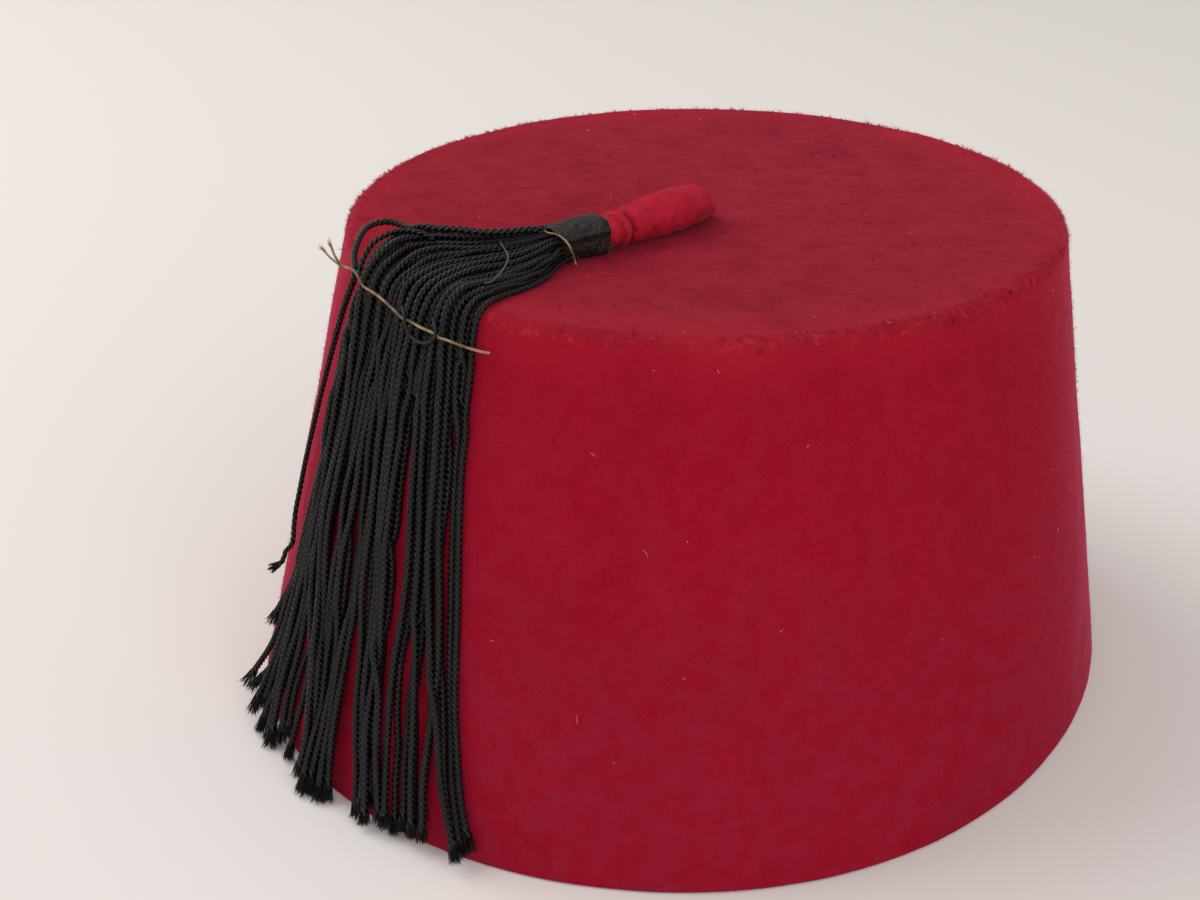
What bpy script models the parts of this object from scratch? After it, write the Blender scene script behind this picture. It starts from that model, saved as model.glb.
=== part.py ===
"""A felt fez hat: a tapered cap with a soft felt stem, a ribbon collar and a corded tassel.

Metres, +Z up. The origin is the centre of the rim, on the surface that the hat rests on. The
forehead is towards +Y, and the tassel lies across the crown and hangs down the back.
"""

import math
from typing import NamedTuple

import bmesh
import bpy
from mathutils import Vector

MM = 0.001
GAP = 0.3 * MM  # between neighbouring pieces

# Cap: a turned profile, pressed to the oval of a head
RIM_RADIUS = 93.0 * MM
CROWN_RADIUS = 73.05 * MM
CAP_HEIGHT = 100.4 * MM
FELT = 2.5 * MM
EDGE_RADIUS = 3.0 * MM  # outer edge of the crown
INNER_EDGE_RADIUS = 0.8 * MM
RIM_ROUNDING = 0.6 * MM
CROWN_DISH = 1.3 * MM  # how far the middle of the crown sinks
RIM_OVAL = 0.0656  # share by which the rim is longer front to back, and narrower across
CROWN_OVAL = 0.0303
FOREHEAD_TAPER = 0.0174  # share by which the rim narrows to the forehead, gone at the crown
CAP_STEPS = 72
DISH_RINGS = 4
EDGE_STEPS = 5
ROUNDING_STEPS = 3
AXIS_MERGE = 0.01 * MM

UP = math.pi / 2
DOWN = -math.pi / 2
TAPER = math.atan2(RIM_RADIUS - CROWN_RADIUS, CAP_HEIGHT)  # lean of the wall
EDGE_CENTRE_RADIUS = CROWN_RADIUS - EDGE_RADIUS * (1 - math.sin(TAPER)) / math.cos(TAPER)
EDGE_CENTRE_HEIGHT = CAP_HEIGHT - EDGE_RADIUS


class Section(NamedTuple):
    """One oval section of a piece that lies on the crown, in millimetres."""

    x: float
    y: float
    width: float
    height: float
    lift: float  # from the felt up to the section's underside


# The stem runs from its pinched root at the middle of the crown into the collar.
STEM = (
    Section(1.7, -1.0, 1.2, 1.0, 0.3),
    Section(1.7, -2.7, 3.8, 3.2, 0.3),
    Section(2.1, -6.7, 6.8, 6.2, 0.3),
    Section(2.7, -11.6, 8.6, 8.0, 0.3),
    Section(2.6, -15.9, 9.2, 8.6, 0.3),
    Section(2.0, -19.8, 9.0, 8.4, 0.3),
    Section(1.1, -22.8, 8.4, 7.6, 0.4),
    Section(0.7, -24.3, 7.8, 7.0, 0.6),
    Section(0.5, -25.8, 8.3, 7.5, 0.4),
    Section(0.5, -28.4, 8.3, 7.4, 0.4),
    Section(0.7, -30.6, 8.0, 6.8, 0.5),
    Section(0.7, -32.2, 6.8, 5.2, 1.2),
    Section(0.4, -34.6, 6.5, 4.6, 1.5),
    Section(-0.4, -37.0, 6.2, 4.4, 1.5),
)
STEM_SIDES = 16

# The collar is a ribbon wound round the stem's end and the tassel's neck.
COLLAR = (
    Section(0.6, -33.4, 9.2, 6.9, 0.3),
    Section(0.1, -35.2, 9.3, 7.0, 0.3),
    Section(-0.7, -37.4, 9.2, 6.9, 0.3),
    Section(-1.8, -40.0, 9.0, 6.4, 0.3),
    Section(-2.9, -42.6, 8.7, 5.9, 0.3),
)
COLLAR_WALL = 0.8 * MM
COLLAR_SIDES = 20

# The neck is the cords' bound head, from inside the collar to where they part.
NECK = (
    Section(-1.1, -38.3, 5.6, 3.6, 1.8),
    Section(-1.8, -40.0, 6.2, 3.9, 1.5),
    Section(-2.9, -42.6, 6.3, 3.6, 1.5),
    Section(-3.3, -43.6, 7.0, 4.0, 1.2),
    Section(-4.1, -45.6, 8.6, 4.6, 0.6),
    Section(-5.3, -48.6, 9.6, 3.6, 0.4),
)
NECK_SIDES = 12


class Lock(NamedTuple):
    """One lock of the tassel: where it hangs on the cap's wall, in degrees and millimetres."""

    cords: int
    at_94: float  # azimuth at 94 mm above the rim
    at_72: float
    at_48: float
    at_24: float
    at_end: float
    end_height: float
    layer: float  # 0 lies on the felt, 1 lies on the layer below
    flare: float  # how far the end stands off


LOCKS = (
    Lock(2, 274.4, 274.6, 276.6, 278.6, 282.2, 1.4, 0.0, 1.2),
    Lock(2, 273.4, 273.7, 275.0, 277.4, 281.0, 1.2, 1.0, 1.2),
    Lock(2, 272.6, 272.7, 273.3, 276.3, 279.6, 6.5, 1.0, 0.8),
    Lock(2, 271.8, 272.9, 272.6, 273.6, 275.9, 1.4, 0.0, 1.4),
    Lock(2, 270.6, 269.7, 271.7, 273.4, 274.4, 2.0, 1.0, 0.8),
    Lock(3, 269.4, 268.9, 269.8, 270.6, 272.2, 3.0, 0.0, 1.2),
    Lock(2, 268.2, 265.3, 265.7, 268.4, 271.0, 4.4, 1.6, 0.6),
    Lock(2, 266.6, 264.2, 265.3, 266.0, 266.1, 1.4, 0.0, 1.4),
    Lock(2, 265.0, 263.3, 263.9, 264.5, 267.3, 1.6, 1.0, 1.2),
    Lock(2, 263.2, 260.9, 262.8, 263.2, 268.1, 2.0, 0.0, 1.2),
    Lock(3, 261.5, 260.1, 260.4, 261.2, 262.8, 1.4, 1.0, 2.4),
    Lock(3, 260.0, 258.9, 258.7, 259.9, 261.4, 1.2, 0.0, 3.6),
    Lock(4, 258.4, 257.6, 257.2, 258.7, 259.6, 1.2, 1.0, 3.4),
    Lock(2, 256.6, 256.0, 256.4, 257.6, 257.8, 4.2, 0.0, 1.2),
    Lock(2, 255.2, 254.4, 252.4, 256.6, 258.6, 1.4, 1.6, 2.0),
    Lock(2, 254.0, 252.8, 251.2, 254.2, 255.0, 6.2, 1.6, 1.0),
    Lock(3, 252.8, 251.6, 250.2, 251.0, 252.2, 3.0, 0.0, 2.4),
    Lock(4, 251.6, 250.1, 248.8, 249.0, 249.8, 1.4, 1.0, 3.4),
    Lock(4, 250.6, 249.0, 247.6, 246.8, 245.8, 1.4, 0.0, 4.4),
    Lock(3, 249.8, 248.0, 246.7, 245.0, 242.0, 2.0, 1.0, 4.8),
    Lock(3, 249.2, 247.3, 246.1, 243.8, 238.4, 4.5, 0.0, 6.0),
    Lock(2, 248.6, 246.6, 245.5, 242.8, 240.2, 20.0, 1.0, 1.6),
)
WALL_HEIGHTS = (94 * MM, 72 * MM, 48 * MM, 24 * MM)
FLARE_SHARES = (0.0, 0.0, 0.06, 0.3)  # of a lock's flare, at the wall heights
CORD = 1.4 * MM  # thickness of one cord
LOCK_THICKNESS = 2.2 * MM
LAYER_STEP = 1.4 * MM
LOCK_SIDES = 8
STATION_PITCH = 12 * MM
MOUTH = Vector((-3.4 * MM, -45.2 * MM))  # where the locks leave the collar
MOUTH_WIDTH = 6.2 * MM
EDGE_TILTS = (85, 58, 30)  # degrees above level at which a route passes the crown's edge
LEFT_HEADING = 208.0  # degrees in which the left of the fan leaves the collar
RIGHT_HEADING = 283.0
MOUTH_AZIMUTH = math.radians(342.0)  # across the mouth, from left to right
MOUTH_LIFT = 0.9 * MM  # the cords leave the collar above the felt
MOUTH_SQUEEZE = 0.55  # a lock's width in the neck, as a share of its full width
SPREAD_RATE = 2.2  # how fast that share grows along the lock
WIDTH_ALLOWANCE = 0.4 * CORD  # a lock is this much wider than its cords side by side
CROWN_SHARES = (0.0, 0.12, 0.28, 0.46, 0.64, 0.82, 0.95)  # guide places over the crown
LEFT_BOW = 1.5  # how strongly a lock keeps its first heading, left and right of the fan
RIGHT_BOW = 1.0
EDGE_BOW = 0.8  # how squarely a lock meets the crown's edge
LEAST_DROP = 6 * MM  # a lock has no guide height nearer to its end than this


class LoopPoint(NamedTuple):
    """One point of the loose cord over the crown, in millimetres, height above the felt."""

    x: float
    y: float
    height: float


# One doubled cord lies apart: it loops out over the crown's edge and hangs beside the locks.
LOOSE_ON_CROWN = (
    LoopPoint(-4.5, -45.5, 3.6),
    LoopPoint(-11.1, -50.9, 4.2),
    LoopPoint(-18.5, -55.6, 4.6),
    LoopPoint(-25.0, -60.2, 5.0),
    LoopPoint(-28.6, -62.0, 5.4),
    LoopPoint(-29.2, -65.4, 5.4),
    LoopPoint(-27.6, -69.6, 4.6),
)


class LooseDrop(NamedTuple):
    """One point of the loose cord on the wall: azimuth, height in mm, distance off the felt."""

    azimuth: float
    height: float
    off: float


LOOSE_ON_WALL = (
    LooseDrop(249.6, 97.4, 3.4),
    LooseDrop(248.0, 90.0, 3.2),
    LooseDrop(244.8, 75.0, 2.6),
    LooseDrop(243.2, 62.0, 2.4),
    LooseDrop(243.2, 52.0, 2.4),
    LooseDrop(243.6, 42.0, 2.8),
    LooseDrop(242.4, 30.0, 3.2),
)
LOOSE_EDGE_OFF = 3.4 * MM
LOOSE_WIDTH = 1.8 * MM
LOOSE_PITCH = 6 * MM

SHARP_ANGLE = math.radians(50)
COLOURS = {
    "felt_body": ((0.30, 0.008, 0.022, 1.0), 0.95),
    "stem": ((0.45, 0.016, 0.018, 1.0), 0.92),
    "collar": ((0.022, 0.020, 0.018, 1.0), 0.45),
    "tassel": ((0.012, 0.012, 0.012, 1.0), 0.6),
}


def clear_scene():
    for obj in list(bpy.data.objects):
        bpy.data.objects.remove(obj, do_unlink=True)


def new_collection(name):
    made = bpy.data.collections.new(name)
    bpy.context.scene.collection.children.link(made)
    return made


def add_object(name, mesh, collection):
    obj = bpy.data.objects.new(name, mesh)
    collection.objects.link(obj)
    return obj


def finish_piece(obj):
    """The piece's material, and smooth shading with its real edges kept sharp."""
    colour, roughness = COLOURS[obj.name]
    material = bpy.data.materials.new(obj.name)
    material.use_nodes = True
    shader = material.node_tree.nodes["Principled BSDF"]
    shader.inputs["Base Color"].default_value = colour
    shader.inputs["Roughness"].default_value = roughness
    shader.inputs["Metallic"].default_value = 0.0
    obj.data.materials.append(material)
    obj.data.shade_smooth()
    obj.data.set_sharp_from_angle(angle=SHARP_ANGLE)


def head_factor(azimuth, height):
    """Share of the turned radius that the head's oval leaves at this azimuth and height."""
    t = height / CAP_HEIGHT
    oval = RIM_OVAL + (CROWN_OVAL - RIM_OVAL) * t
    taper = FOREHEAD_TAPER * (1 - t)
    return 1 - oval * math.cos(2 * azimuth) - taper * math.sin(3 * azimuth)


def crown_height(radius):
    """Height of the dished crown at this distance from the axis."""
    share = min(radius / EDGE_CENTRE_RADIUS, 1.0)
    return CAP_HEIGHT - CROWN_DISH * (1 - share * share)


def arc(centre, radius, start, end, steps):
    """Points (r, z) of an arc from one angle to another, both ends included."""
    angles = (start + (end - start) * i / steps for i in range(steps + 1))
    return [(centre[0] + radius * math.cos(a), centre[1] + radius * math.sin(a)) for a in angles]


def cap_profile():
    """The turned profile: out over the crown, down the wall, round the rim and up inside."""
    rings = [EDGE_CENTRE_RADIUS * i / DISH_RINGS for i in range(DISH_RINGS)]
    outer = [(r, crown_height(r)) for r in rings]
    edge_centre = (EDGE_CENTRE_RADIUS, EDGE_CENTRE_HEIGHT)
    outer += arc(edge_centre, EDGE_RADIUS, UP, TAPER, EDGE_STEPS)
    rim_centre = (RIM_RADIUS - RIM_ROUNDING, RIM_ROUNDING)
    outer += arc(rim_centre, RIM_ROUNDING, TAPER, DOWN, ROUNDING_STEPS)
    inner_rim = RIM_RADIUS - FELT / math.cos(TAPER)
    inner_rim_centre = (inner_rim + RIM_ROUNDING, RIM_ROUNDING)
    inner = arc(inner_rim_centre, RIM_ROUNDING, DOWN, -math.pi - TAPER, ROUNDING_STEPS)
    ceiling = CAP_HEIGHT - FELT
    inner_crown = inner_rim - ceiling * math.tan(TAPER)
    inner_centre = (inner_crown - INNER_EDGE_RADIUS, ceiling - INNER_EDGE_RADIUS)
    inner += arc(inner_centre, INNER_EDGE_RADIUS, TAPER, UP, ROUNDING_STEPS)
    inner += [(r, crown_height(r) - FELT) for r in reversed(rings)]
    return outer + inner


def make_felt_body(collection):
    """The cap: the profile turned by a Screw modifier, then pressed to the head's oval."""
    mesh = bpy.data.meshes.new("cap_profile")
    points = [(r, 0, z) for r, z in cap_profile()]
    mesh.from_pydata(points, [(i, i + 1) for i in range(len(points) - 1)], [])
    turned = add_object("cap_profile", mesh, collection)
    screw = turned.modifiers.new("turn", "SCREW")
    screw.steps = CAP_STEPS
    screw.render_steps = CAP_STEPS
    screw.use_merge_vertices = True
    screw.merge_threshold = AXIS_MERGE
    bpy.context.view_layer.update()
    graph = bpy.context.evaluated_depsgraph_get()
    body = bpy.data.meshes.new_from_object(turned.evaluated_get(graph))
    bpy.data.objects.remove(turned)
    body.name = "felt_body"
    for vertex in body.vertices:
        factor = head_factor(math.atan2(vertex.co.y, vertex.co.x), vertex.co.z)
        vertex.co.x *= factor
        vertex.co.y *= factor
    return add_object("felt_body", body, collection)


def loft(name, rings, collection, inner_rings=()):
    """A closed solid through rings of points, with flat ends, or a sleeve where it has a bore."""
    work = bmesh.new()

    def skin(loops):
        made = [[work.verts.new(point) for point in ring] for ring in loops]
        for ring, following in zip(made, made[1:]):
            for k in range(len(ring)):
                n = (k + 1) % len(ring)
                work.faces.new((ring[k], ring[n], following[n], following[k]))
        return made

    outer = skin(rings)
    if inner_rings:
        inner = skin([ring[::-1] for ring in inner_rings])
        for end in (0, -1):
            bore = inner[end][::-1]
            for k in range(len(bore)):
                n = (k + 1) % len(bore)
                work.faces.new((outer[end][k], outer[end][n], bore[n], bore[k]))
    else:
        work.faces.new(outer[0])
        work.faces.new(outer[-1])
    bmesh.ops.recalc_face_normals(work, faces=work.faces)
    mesh = bpy.data.meshes.new(name)
    work.to_mesh(mesh)
    work.free()
    return add_object(name, mesh, collection)


def oval_ring(centre, across, up, width, height, sides):
    """One oval ring of points, in the plane of the two directions."""
    angles = (2 * math.pi * (k + 0.5) / sides for k in range(sides))
    return [
        centre + across * (width / 2 * math.cos(a)) + up * (height / 2 * math.sin(a))
        for a in angles
    ]


def crown_rings(sections, sides, inset=0.0):
    """Rings of the sections of a piece that lies on the crown, each square to its run."""
    middles = []
    for s in sections:
        x, y = s.x * MM, s.y * MM
        base = crown_height(math.hypot(x, y)) + s.lift * MM
        middles.append(Vector((x, y, base + s.height / 2 * MM)))
    rings = []
    for i, s in enumerate(sections):
        run = middles[min(i + 1, len(middles) - 1)] - middles[max(i - 1, 0)]
        run.z = 0
        across = run.cross(Vector((0, 0, 1))).normalized()
        width = s.width * MM - 2 * inset
        height = s.height * MM - 2 * inset
        rings.append(oval_ring(middles[i], across, Vector((0, 0, 1)), width, height, sides))
    return rings


def make_stem(collection):
    return loft("stem", crown_rings(STEM, STEM_SIDES), collection)


def make_collar(collection):
    outer = crown_rings(COLLAR, COLLAR_SIDES)
    bore = crown_rings(COLLAR, COLLAR_SIDES, inset=COLLAR_WALL)
    return loft("collar", outer, collection, bore)


def on_wall(azimuth, height, off):
    """Point off the cap's wall, and the wall's outward normal. The height is the felt's."""
    around = Vector((math.cos(azimuth), math.sin(azimuth), 0))
    turned = RIM_RADIUS + (CROWN_RADIUS - RIM_RADIUS) * height / CAP_HEIGHT
    normal = around * math.cos(TAPER) + Vector((0, 0, math.sin(TAPER)))
    foot = around * (turned * head_factor(azimuth, height)) + Vector((0, 0, height))
    return foot + normal * off, normal


def on_edge(azimuth, tilt, off):
    """Point off the rounded edge of the crown, and the normal there, tilt up from level."""
    around = Vector((math.cos(azimuth), math.sin(azimuth), 0))
    normal = around * math.cos(tilt) + Vector((0, 0, math.sin(tilt)))
    centre_radius = EDGE_CENTRE_RADIUS * head_factor(azimuth, CAP_HEIGHT)
    centre = around * centre_radius + Vector((0, 0, EDGE_CENTRE_HEIGHT))
    return centre + normal * (EDGE_RADIUS + off), normal


def on_crown(x, y, off):
    """Point above the crown, and the normal there."""
    up = Vector((0, 0, 1))
    return Vector((x, y, crown_height(math.hypot(x, y)) + off)), up


def hermite(start, start_run, end, end_run, t):
    """Point at t on the curve that leaves the start and meets the end along their runs."""
    s = t * t * (3 - 2 * t)
    return (
        start * (1 - s)
        + end * s
        + start_run * (t * (1 - t) ** 2)
        - end_run * (t * t * (1 - t))
    )


def lock_guides(lock):
    """Guide points and normals of one lock, from the collar's mouth to its free end."""
    first, last = LOCKS[0].at_94, LOCKS[-1].at_94
    share = (lock.at_94 - last) / (first - last)  # 0 at the left of the fan, 1 at the right
    rim_azimuth = math.radians(lock.at_94)
    off = GAP + LOCK_THICKNESS / 2 + lock.layer * LAYER_STEP
    mouth_run = math.radians(LEFT_HEADING + (RIGHT_HEADING - LEFT_HEADING) * share)
    across = Vector((math.cos(MOUTH_AZIMUTH), math.sin(MOUTH_AZIMUTH)))
    start = MOUTH + across * ((share - 0.5) * MOUTH_WIDTH)
    outward = Vector((math.cos(rim_azimuth), math.sin(rim_azimuth)))
    edge = outward * (EDGE_CENTRE_RADIUS * head_factor(rim_azimuth, CAP_HEIGHT))
    reach = (edge - start).length
    bow = reach * (LEFT_BOW + (RIGHT_BOW - LEFT_BOW) * share)
    start_run = Vector((math.cos(mouth_run), math.sin(mouth_run))) * bow
    guides = []
    for t in CROWN_SHARES:
        point = hermite(start, start_run, edge, outward * reach * EDGE_BOW, t)
        guides.append(on_crown(point.x, point.y, off + MOUTH_LIFT * (1 - t) ** 4))
    for tilt in EDGE_TILTS:
        guides.append(on_edge(rim_azimuth, math.radians(tilt), off))
    azimuths = (lock.at_94, lock.at_72, lock.at_48, lock.at_24)
    end_height = lock.end_height * MM
    for azimuth, height, share in zip(azimuths, WALL_HEIGHTS, FLARE_SHARES):
        if height > end_height + LEAST_DROP:
            flared = off + lock.flare * MM * share
            guides.append(on_wall(math.radians(azimuth), height, flared))
    end_off = off + lock.flare * MM
    guides.append(on_wall(math.radians(lock.at_end), end_height, end_off))
    return guides


def loose_guides():
    """Guide points and normals of the loose cord."""
    guides = [on_crown(p.x * MM, p.y * MM, p.height * MM) for p in LOOSE_ON_CROWN]
    edge_azimuth = math.radians(LOOSE_ON_WALL[0].azimuth)
    for tilt in EDGE_TILTS:
        guides.append(on_edge(edge_azimuth, math.radians(tilt), LOOSE_EDGE_OFF))
    for p in LOOSE_ON_WALL:
        guides.append(on_wall(math.radians(p.azimuth), p.height * MM, p.off * MM))
    return guides


def smooth_route(guides, pitch):
    """Points, normals and shares of the way along a smooth curve that passes all the guides."""
    path = []
    last = len(guides) - 1
    for i in range(last):
        four = [guides[min(max(j, 0), last)] for j in (i - 1, i, i + 1, i + 2)]
        spans = [max((b[0] - a[0]).length, MM) for a, b in zip(four, four[1:])]
        gaps = [span**0.5 for span in spans]
        steps = max(1, round(spans[1] / pitch))
        for step in range(steps):
            t = step / steps
            path.append([spline_point([g[part] for g in four], gaps, t) for part in (0, 1)])
    path.append(guides[last])
    lengths = [0.0]
    for a, b in zip(path, path[1:]):
        lengths.append(lengths[-1] + (b[0] - a[0]).length)
    return [(p, n.normalized(), run / lengths[-1]) for (p, n), run in zip(path, lengths)]


def spline_point(four, gaps, t):
    """Point at t between the middle two of four, on a centripetal Catmull-Rom curve."""
    p0, p1, p2, p3 = four
    d0, d1, d2 = gaps
    leave = ((p1 - p0) / d0 - (p2 - p0) / (d0 + d1) + (p2 - p1) / d1) * d1
    arrive = ((p2 - p1) / d1 - (p3 - p1) / (d1 + d2) + (p3 - p2) / d2) * d1
    return hermite(p1, leave, p2, arrive, t)


def strip(name, route, width_at, thickness, collection):
    """A lock: an oval section swept along its route, flat to the felt."""
    rings = []
    for i, (point, normal, share) in enumerate(route):
        run = route[min(i + 1, len(route) - 1)][0] - route[max(i - 1, 0)][0]
        across = run.cross(normal).normalized()
        up = across.cross(run).normalized()
        rings.append(oval_ring(point, across, up, width_at(share), thickness, LOCK_SIDES))
    return loft(name, rings, collection)


def make_tassel(collection, helpers):
    """The neck and all locks, fused into one body."""
    tassel = loft("tassel", crown_rings(NECK, NECK_SIDES), collection)
    for i, lock in enumerate(LOCKS):
        full = lock.cords * CORD + WIDTH_ALLOWANCE

        def width_at(share, full=full):
            return full * min(1.0, MOUTH_SQUEEZE + share * SPREAD_RATE)

        route = smooth_route(lock_guides(lock), STATION_PITCH)
        strip(f"lock_{i + 1:02d}", route, width_at, LOCK_THICKNESS, helpers)
    route = smooth_route(loose_guides(), LOOSE_PITCH)
    strip("loose_cord", route, lambda share: LOOSE_WIDTH, LOOSE_WIDTH, helpers)
    for helper in helpers.objects:
        helper.hide_render = True
        helper.display_type = "WIRE"
    fuse = tassel.modifiers.new("fuse", "BOOLEAN")
    fuse.operation = "UNION"
    fuse.operand_type = "COLLECTION"
    fuse.collection = helpers
    fuse.solver = "EXACT"
    bpy.context.view_layer.update()
    graph = bpy.context.evaluated_depsgraph_get()
    fused = bpy.data.meshes.new_from_object(tassel.evaluated_get(graph))
    tassel.modifiers.clear()
    tassel.data = fused
    keep_outer_shell(fused)
    return tassel


def shells_of(work):
    """The separate closed shells of a mesh, each as a list of faces."""
    unseen = set(work.faces)
    shells = []
    while unseen:
        shell = []
        edge_of = [unseen.pop()]
        while edge_of:
            face = edge_of.pop()
            shell.append(face)
            for edge in face.edges:
                for other in edge.link_faces:
                    if other in unseen:
                        unseen.remove(other)
                        edge_of.append(other)
        shells.append(shell)
    return shells


def keep_outer_shell(mesh):
    """Fills the small hollows that overlapping locks enclose, by removing their shells."""
    work = bmesh.new()
    work.from_mesh(mesh)
    shells = sorted(shells_of(work), key=len)
    for shell in shells[:-1]:
        bmesh.ops.delete(work, geom=shell, context="FACES")
    work.to_mesh(mesh)
    work.free()


def main():
    clear_scene()
    pieces = new_collection("fez_hat")
    helpers = new_collection("tassel_locks")
    made = [
        make_felt_body(pieces),
        make_stem(pieces),
        make_collar(pieces),
        make_tassel(pieces, helpers),
    ]
    for obj in made:
        finish_piece(obj)


main()
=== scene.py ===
"""The looks of the felt fez: fine felt, a ribbon collar, twisted cords, threads, fuzz and lint."""

import math

import bpy
import numpy as np
from mathutils import Matrix, Vector, noise


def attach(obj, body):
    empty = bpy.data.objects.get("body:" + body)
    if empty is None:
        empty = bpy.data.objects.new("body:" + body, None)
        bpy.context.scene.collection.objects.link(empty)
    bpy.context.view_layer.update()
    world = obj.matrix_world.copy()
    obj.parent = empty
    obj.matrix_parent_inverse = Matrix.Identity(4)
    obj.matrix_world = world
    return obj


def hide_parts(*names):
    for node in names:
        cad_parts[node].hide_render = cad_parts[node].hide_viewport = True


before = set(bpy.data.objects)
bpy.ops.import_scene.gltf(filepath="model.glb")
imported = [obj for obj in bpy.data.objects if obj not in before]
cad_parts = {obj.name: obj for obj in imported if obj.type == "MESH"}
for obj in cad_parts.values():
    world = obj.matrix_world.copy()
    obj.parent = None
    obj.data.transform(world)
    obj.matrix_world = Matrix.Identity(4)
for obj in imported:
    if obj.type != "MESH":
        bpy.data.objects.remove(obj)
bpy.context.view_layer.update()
MM = 0.001
TURN = 2 * math.pi
SEED, TASSEL_SEED = 11, 5
rng = np.random.default_rng(SEED)

# ---------------- the cap's form, as built
RIM_RADIUS = 93.0 * MM
CROWN_RADIUS = 73.05 * MM
CAP_HEIGHT = 100.4 * MM
FELT = 2.5 * MM
EDGE_RADIUS = 3.0 * MM
RIM_ROUNDING = 0.6 * MM
CROWN_DISH = 1.3 * MM
RIM_OVAL = 0.0656
CROWN_OVAL = 0.0303
FOREHEAD_TAPER = 0.0174
TAPER = math.atan2(RIM_RADIUS - CROWN_RADIUS, CAP_HEIGHT)
EDGE_CENTRE_RADIUS = CROWN_RADIUS - EDGE_RADIUS * (1 - math.sin(TAPER)) / math.cos(TAPER)
EDGE_CENTRE_HEIGHT = CAP_HEIGHT - EDGE_RADIUS


def head_factor(azimuth, height):
    t = height / CAP_HEIGHT
    oval = RIM_OVAL + (CROWN_OVAL - RIM_OVAL) * t
    return 1 - oval * np.cos(2 * azimuth) - FOREHEAD_TAPER * (1 - t) * np.sin(3 * azimuth)


def crown_height(radius):
    share = np.minimum(radius / EDGE_CENTRE_RADIUS, 1.0)
    return CAP_HEIGHT - CROWN_DISH * (1 - share * share)


def felt_offset(points):
    """Distance of points from the cap's outer skin, and the skin's normals there."""
    x, y, z = points[..., 0], points[..., 1], points[..., 2]
    azimuth = np.arctan2(y, x)
    turned = np.hypot(x, y) / head_factor(azimuth, np.clip(z, 0, CAP_HEIGHT))
    out, up = turned - EDGE_CENTRE_RADIUS, z - EDGE_CENTRE_HEIGHT
    lean = np.arctan2(up, out)
    lean = np.where((out < 0) & (up > 0), math.pi / 2, np.clip(lean, TAPER, math.pi / 2))
    offset = out * np.cos(lean) + up * np.sin(lean) - EDGE_RADIUS
    offset = offset + np.where(out < 0, CAP_HEIGHT - crown_height(turned), 0.0)
    level = np.cos(lean)
    normals = np.stack([level * np.cos(azimuth), level * np.sin(azimuth), np.sin(lean)], -1)
    return offset, normals


def around(azimuth, radius, up):
    return np.stack(np.broadcast_arrays(radius * np.cos(azimuth), radius * np.sin(azimuth), up), -1)


def on_wall(azimuth, height, off):
    """Points off the wall. All three may be arrays."""
    turned = RIM_RADIUS + (CROWN_RADIUS - RIM_RADIUS) * height / CAP_HEIGHT
    radius = turned * head_factor(azimuth, height) + off * math.cos(TAPER)
    return around(azimuth, radius, height + off * math.sin(TAPER))


def on_edge(azimuth, tilt, off):
    centre = EDGE_CENTRE_RADIUS * head_factor(azimuth, CAP_HEIGHT)
    radius = centre + (EDGE_RADIUS + off) * np.cos(tilt)
    return around(azimuth, radius, EDGE_CENTRE_HEIGHT + (EDGE_RADIUS + off) * np.sin(tilt))


def on_crown(x, y, off):
    return np.stack(np.broadcast_arrays(x, y, crown_height(np.hypot(x, y)) + off), -1)


# ---------------- small helpers
FLOOR_GAP = 0.02 * MM


def linked(name, data):
    obj = bpy.data.objects.new(name, data)
    bpy.context.scene.collection.objects.link(obj)
    return obj


def add_piece(name, parts, material, replaces=(), uvs=None):
    """One object from (points, corners, sizes) parts, with uvs for their corners where given.

    Corners are the faces' points in one row, and sizes say how many of them each face has.
    """
    starts = np.cumsum([0] + [len(part[0]) for part in parts])
    points = np.concatenate([part[0] for part in parts])
    points[:, 2] = np.maximum(points[:, 2], FLOOR_GAP)
    corners = np.concatenate([part[1] + start for part, start in zip(parts, starts)])
    sizes = np.concatenate([part[2] for part in parts])
    mesh = bpy.data.meshes.new(name)
    mesh.vertices.add(len(points))
    mesh.vertices.foreach_set("co", points.astype(np.float32).ravel())
    mesh.loops.add(len(corners))
    mesh.loops.foreach_set("vertex_index", corners.astype(np.int32))
    mesh.polygons.add(len(sizes))
    mesh.polygons.foreach_set("loop_start", (np.cumsum(sizes) - sizes).astype(np.int32))
    mesh.polygons.foreach_set("use_smooth", np.ones(len(sizes), bool))
    if uvs is not None:
        layer = mesh.uv_layers.new(name="length_and_round")
        layer.data.foreach_set("uv", np.concatenate(uvs).astype(np.float32).ravel())
    mesh.update(calc_edges=True)
    mesh.validate()
    mesh.materials.append(material)
    obj = linked(name, mesh)
    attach(obj, "root")
    if replaces:
        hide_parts(*replaces)


def sleeve(rings):
    """Corners and sizes of the quads that join rings of points (sections, sides)."""
    ahead = np.roll(rings, -1, axis=1)
    quads = np.stack([rings[:-1], ahead[:-1], ahead[1:], rings[1:]], -1).reshape(-1)
    return quads, np.full(len(quads) // 4, 4)


def tube_part(rings):
    """A tube through rings (sections, sides, 3), closed at both ends."""
    sections, sides = rings.shape[:2]
    index = np.arange(sections * sides).reshape(sections, sides)
    quads, sizes = sleeve(index)
    corners = np.concatenate([quads, index[0][::-1], index[-1]])
    return rings.reshape(-1, 3), corners, np.append(sizes, [sides, sides])


def scatter(*shape):
    """Random numbers or directions, about 1 in size."""
    return rng.normal(0, 1, shape)


def uneven(count, middle, spread, least, most):
    """Log-normal random lengths, most of them short, kept between the least and the most mm."""
    return np.clip(rng.lognormal(middle, spread, count), least, most) * MM


def rgb(red, green, blue):
    return (red, green, blue, 1)


def unit(vectors):
    return vectors / np.maximum(np.linalg.norm(vectors, axis=-1, keepdims=True), 1e-12)


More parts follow.
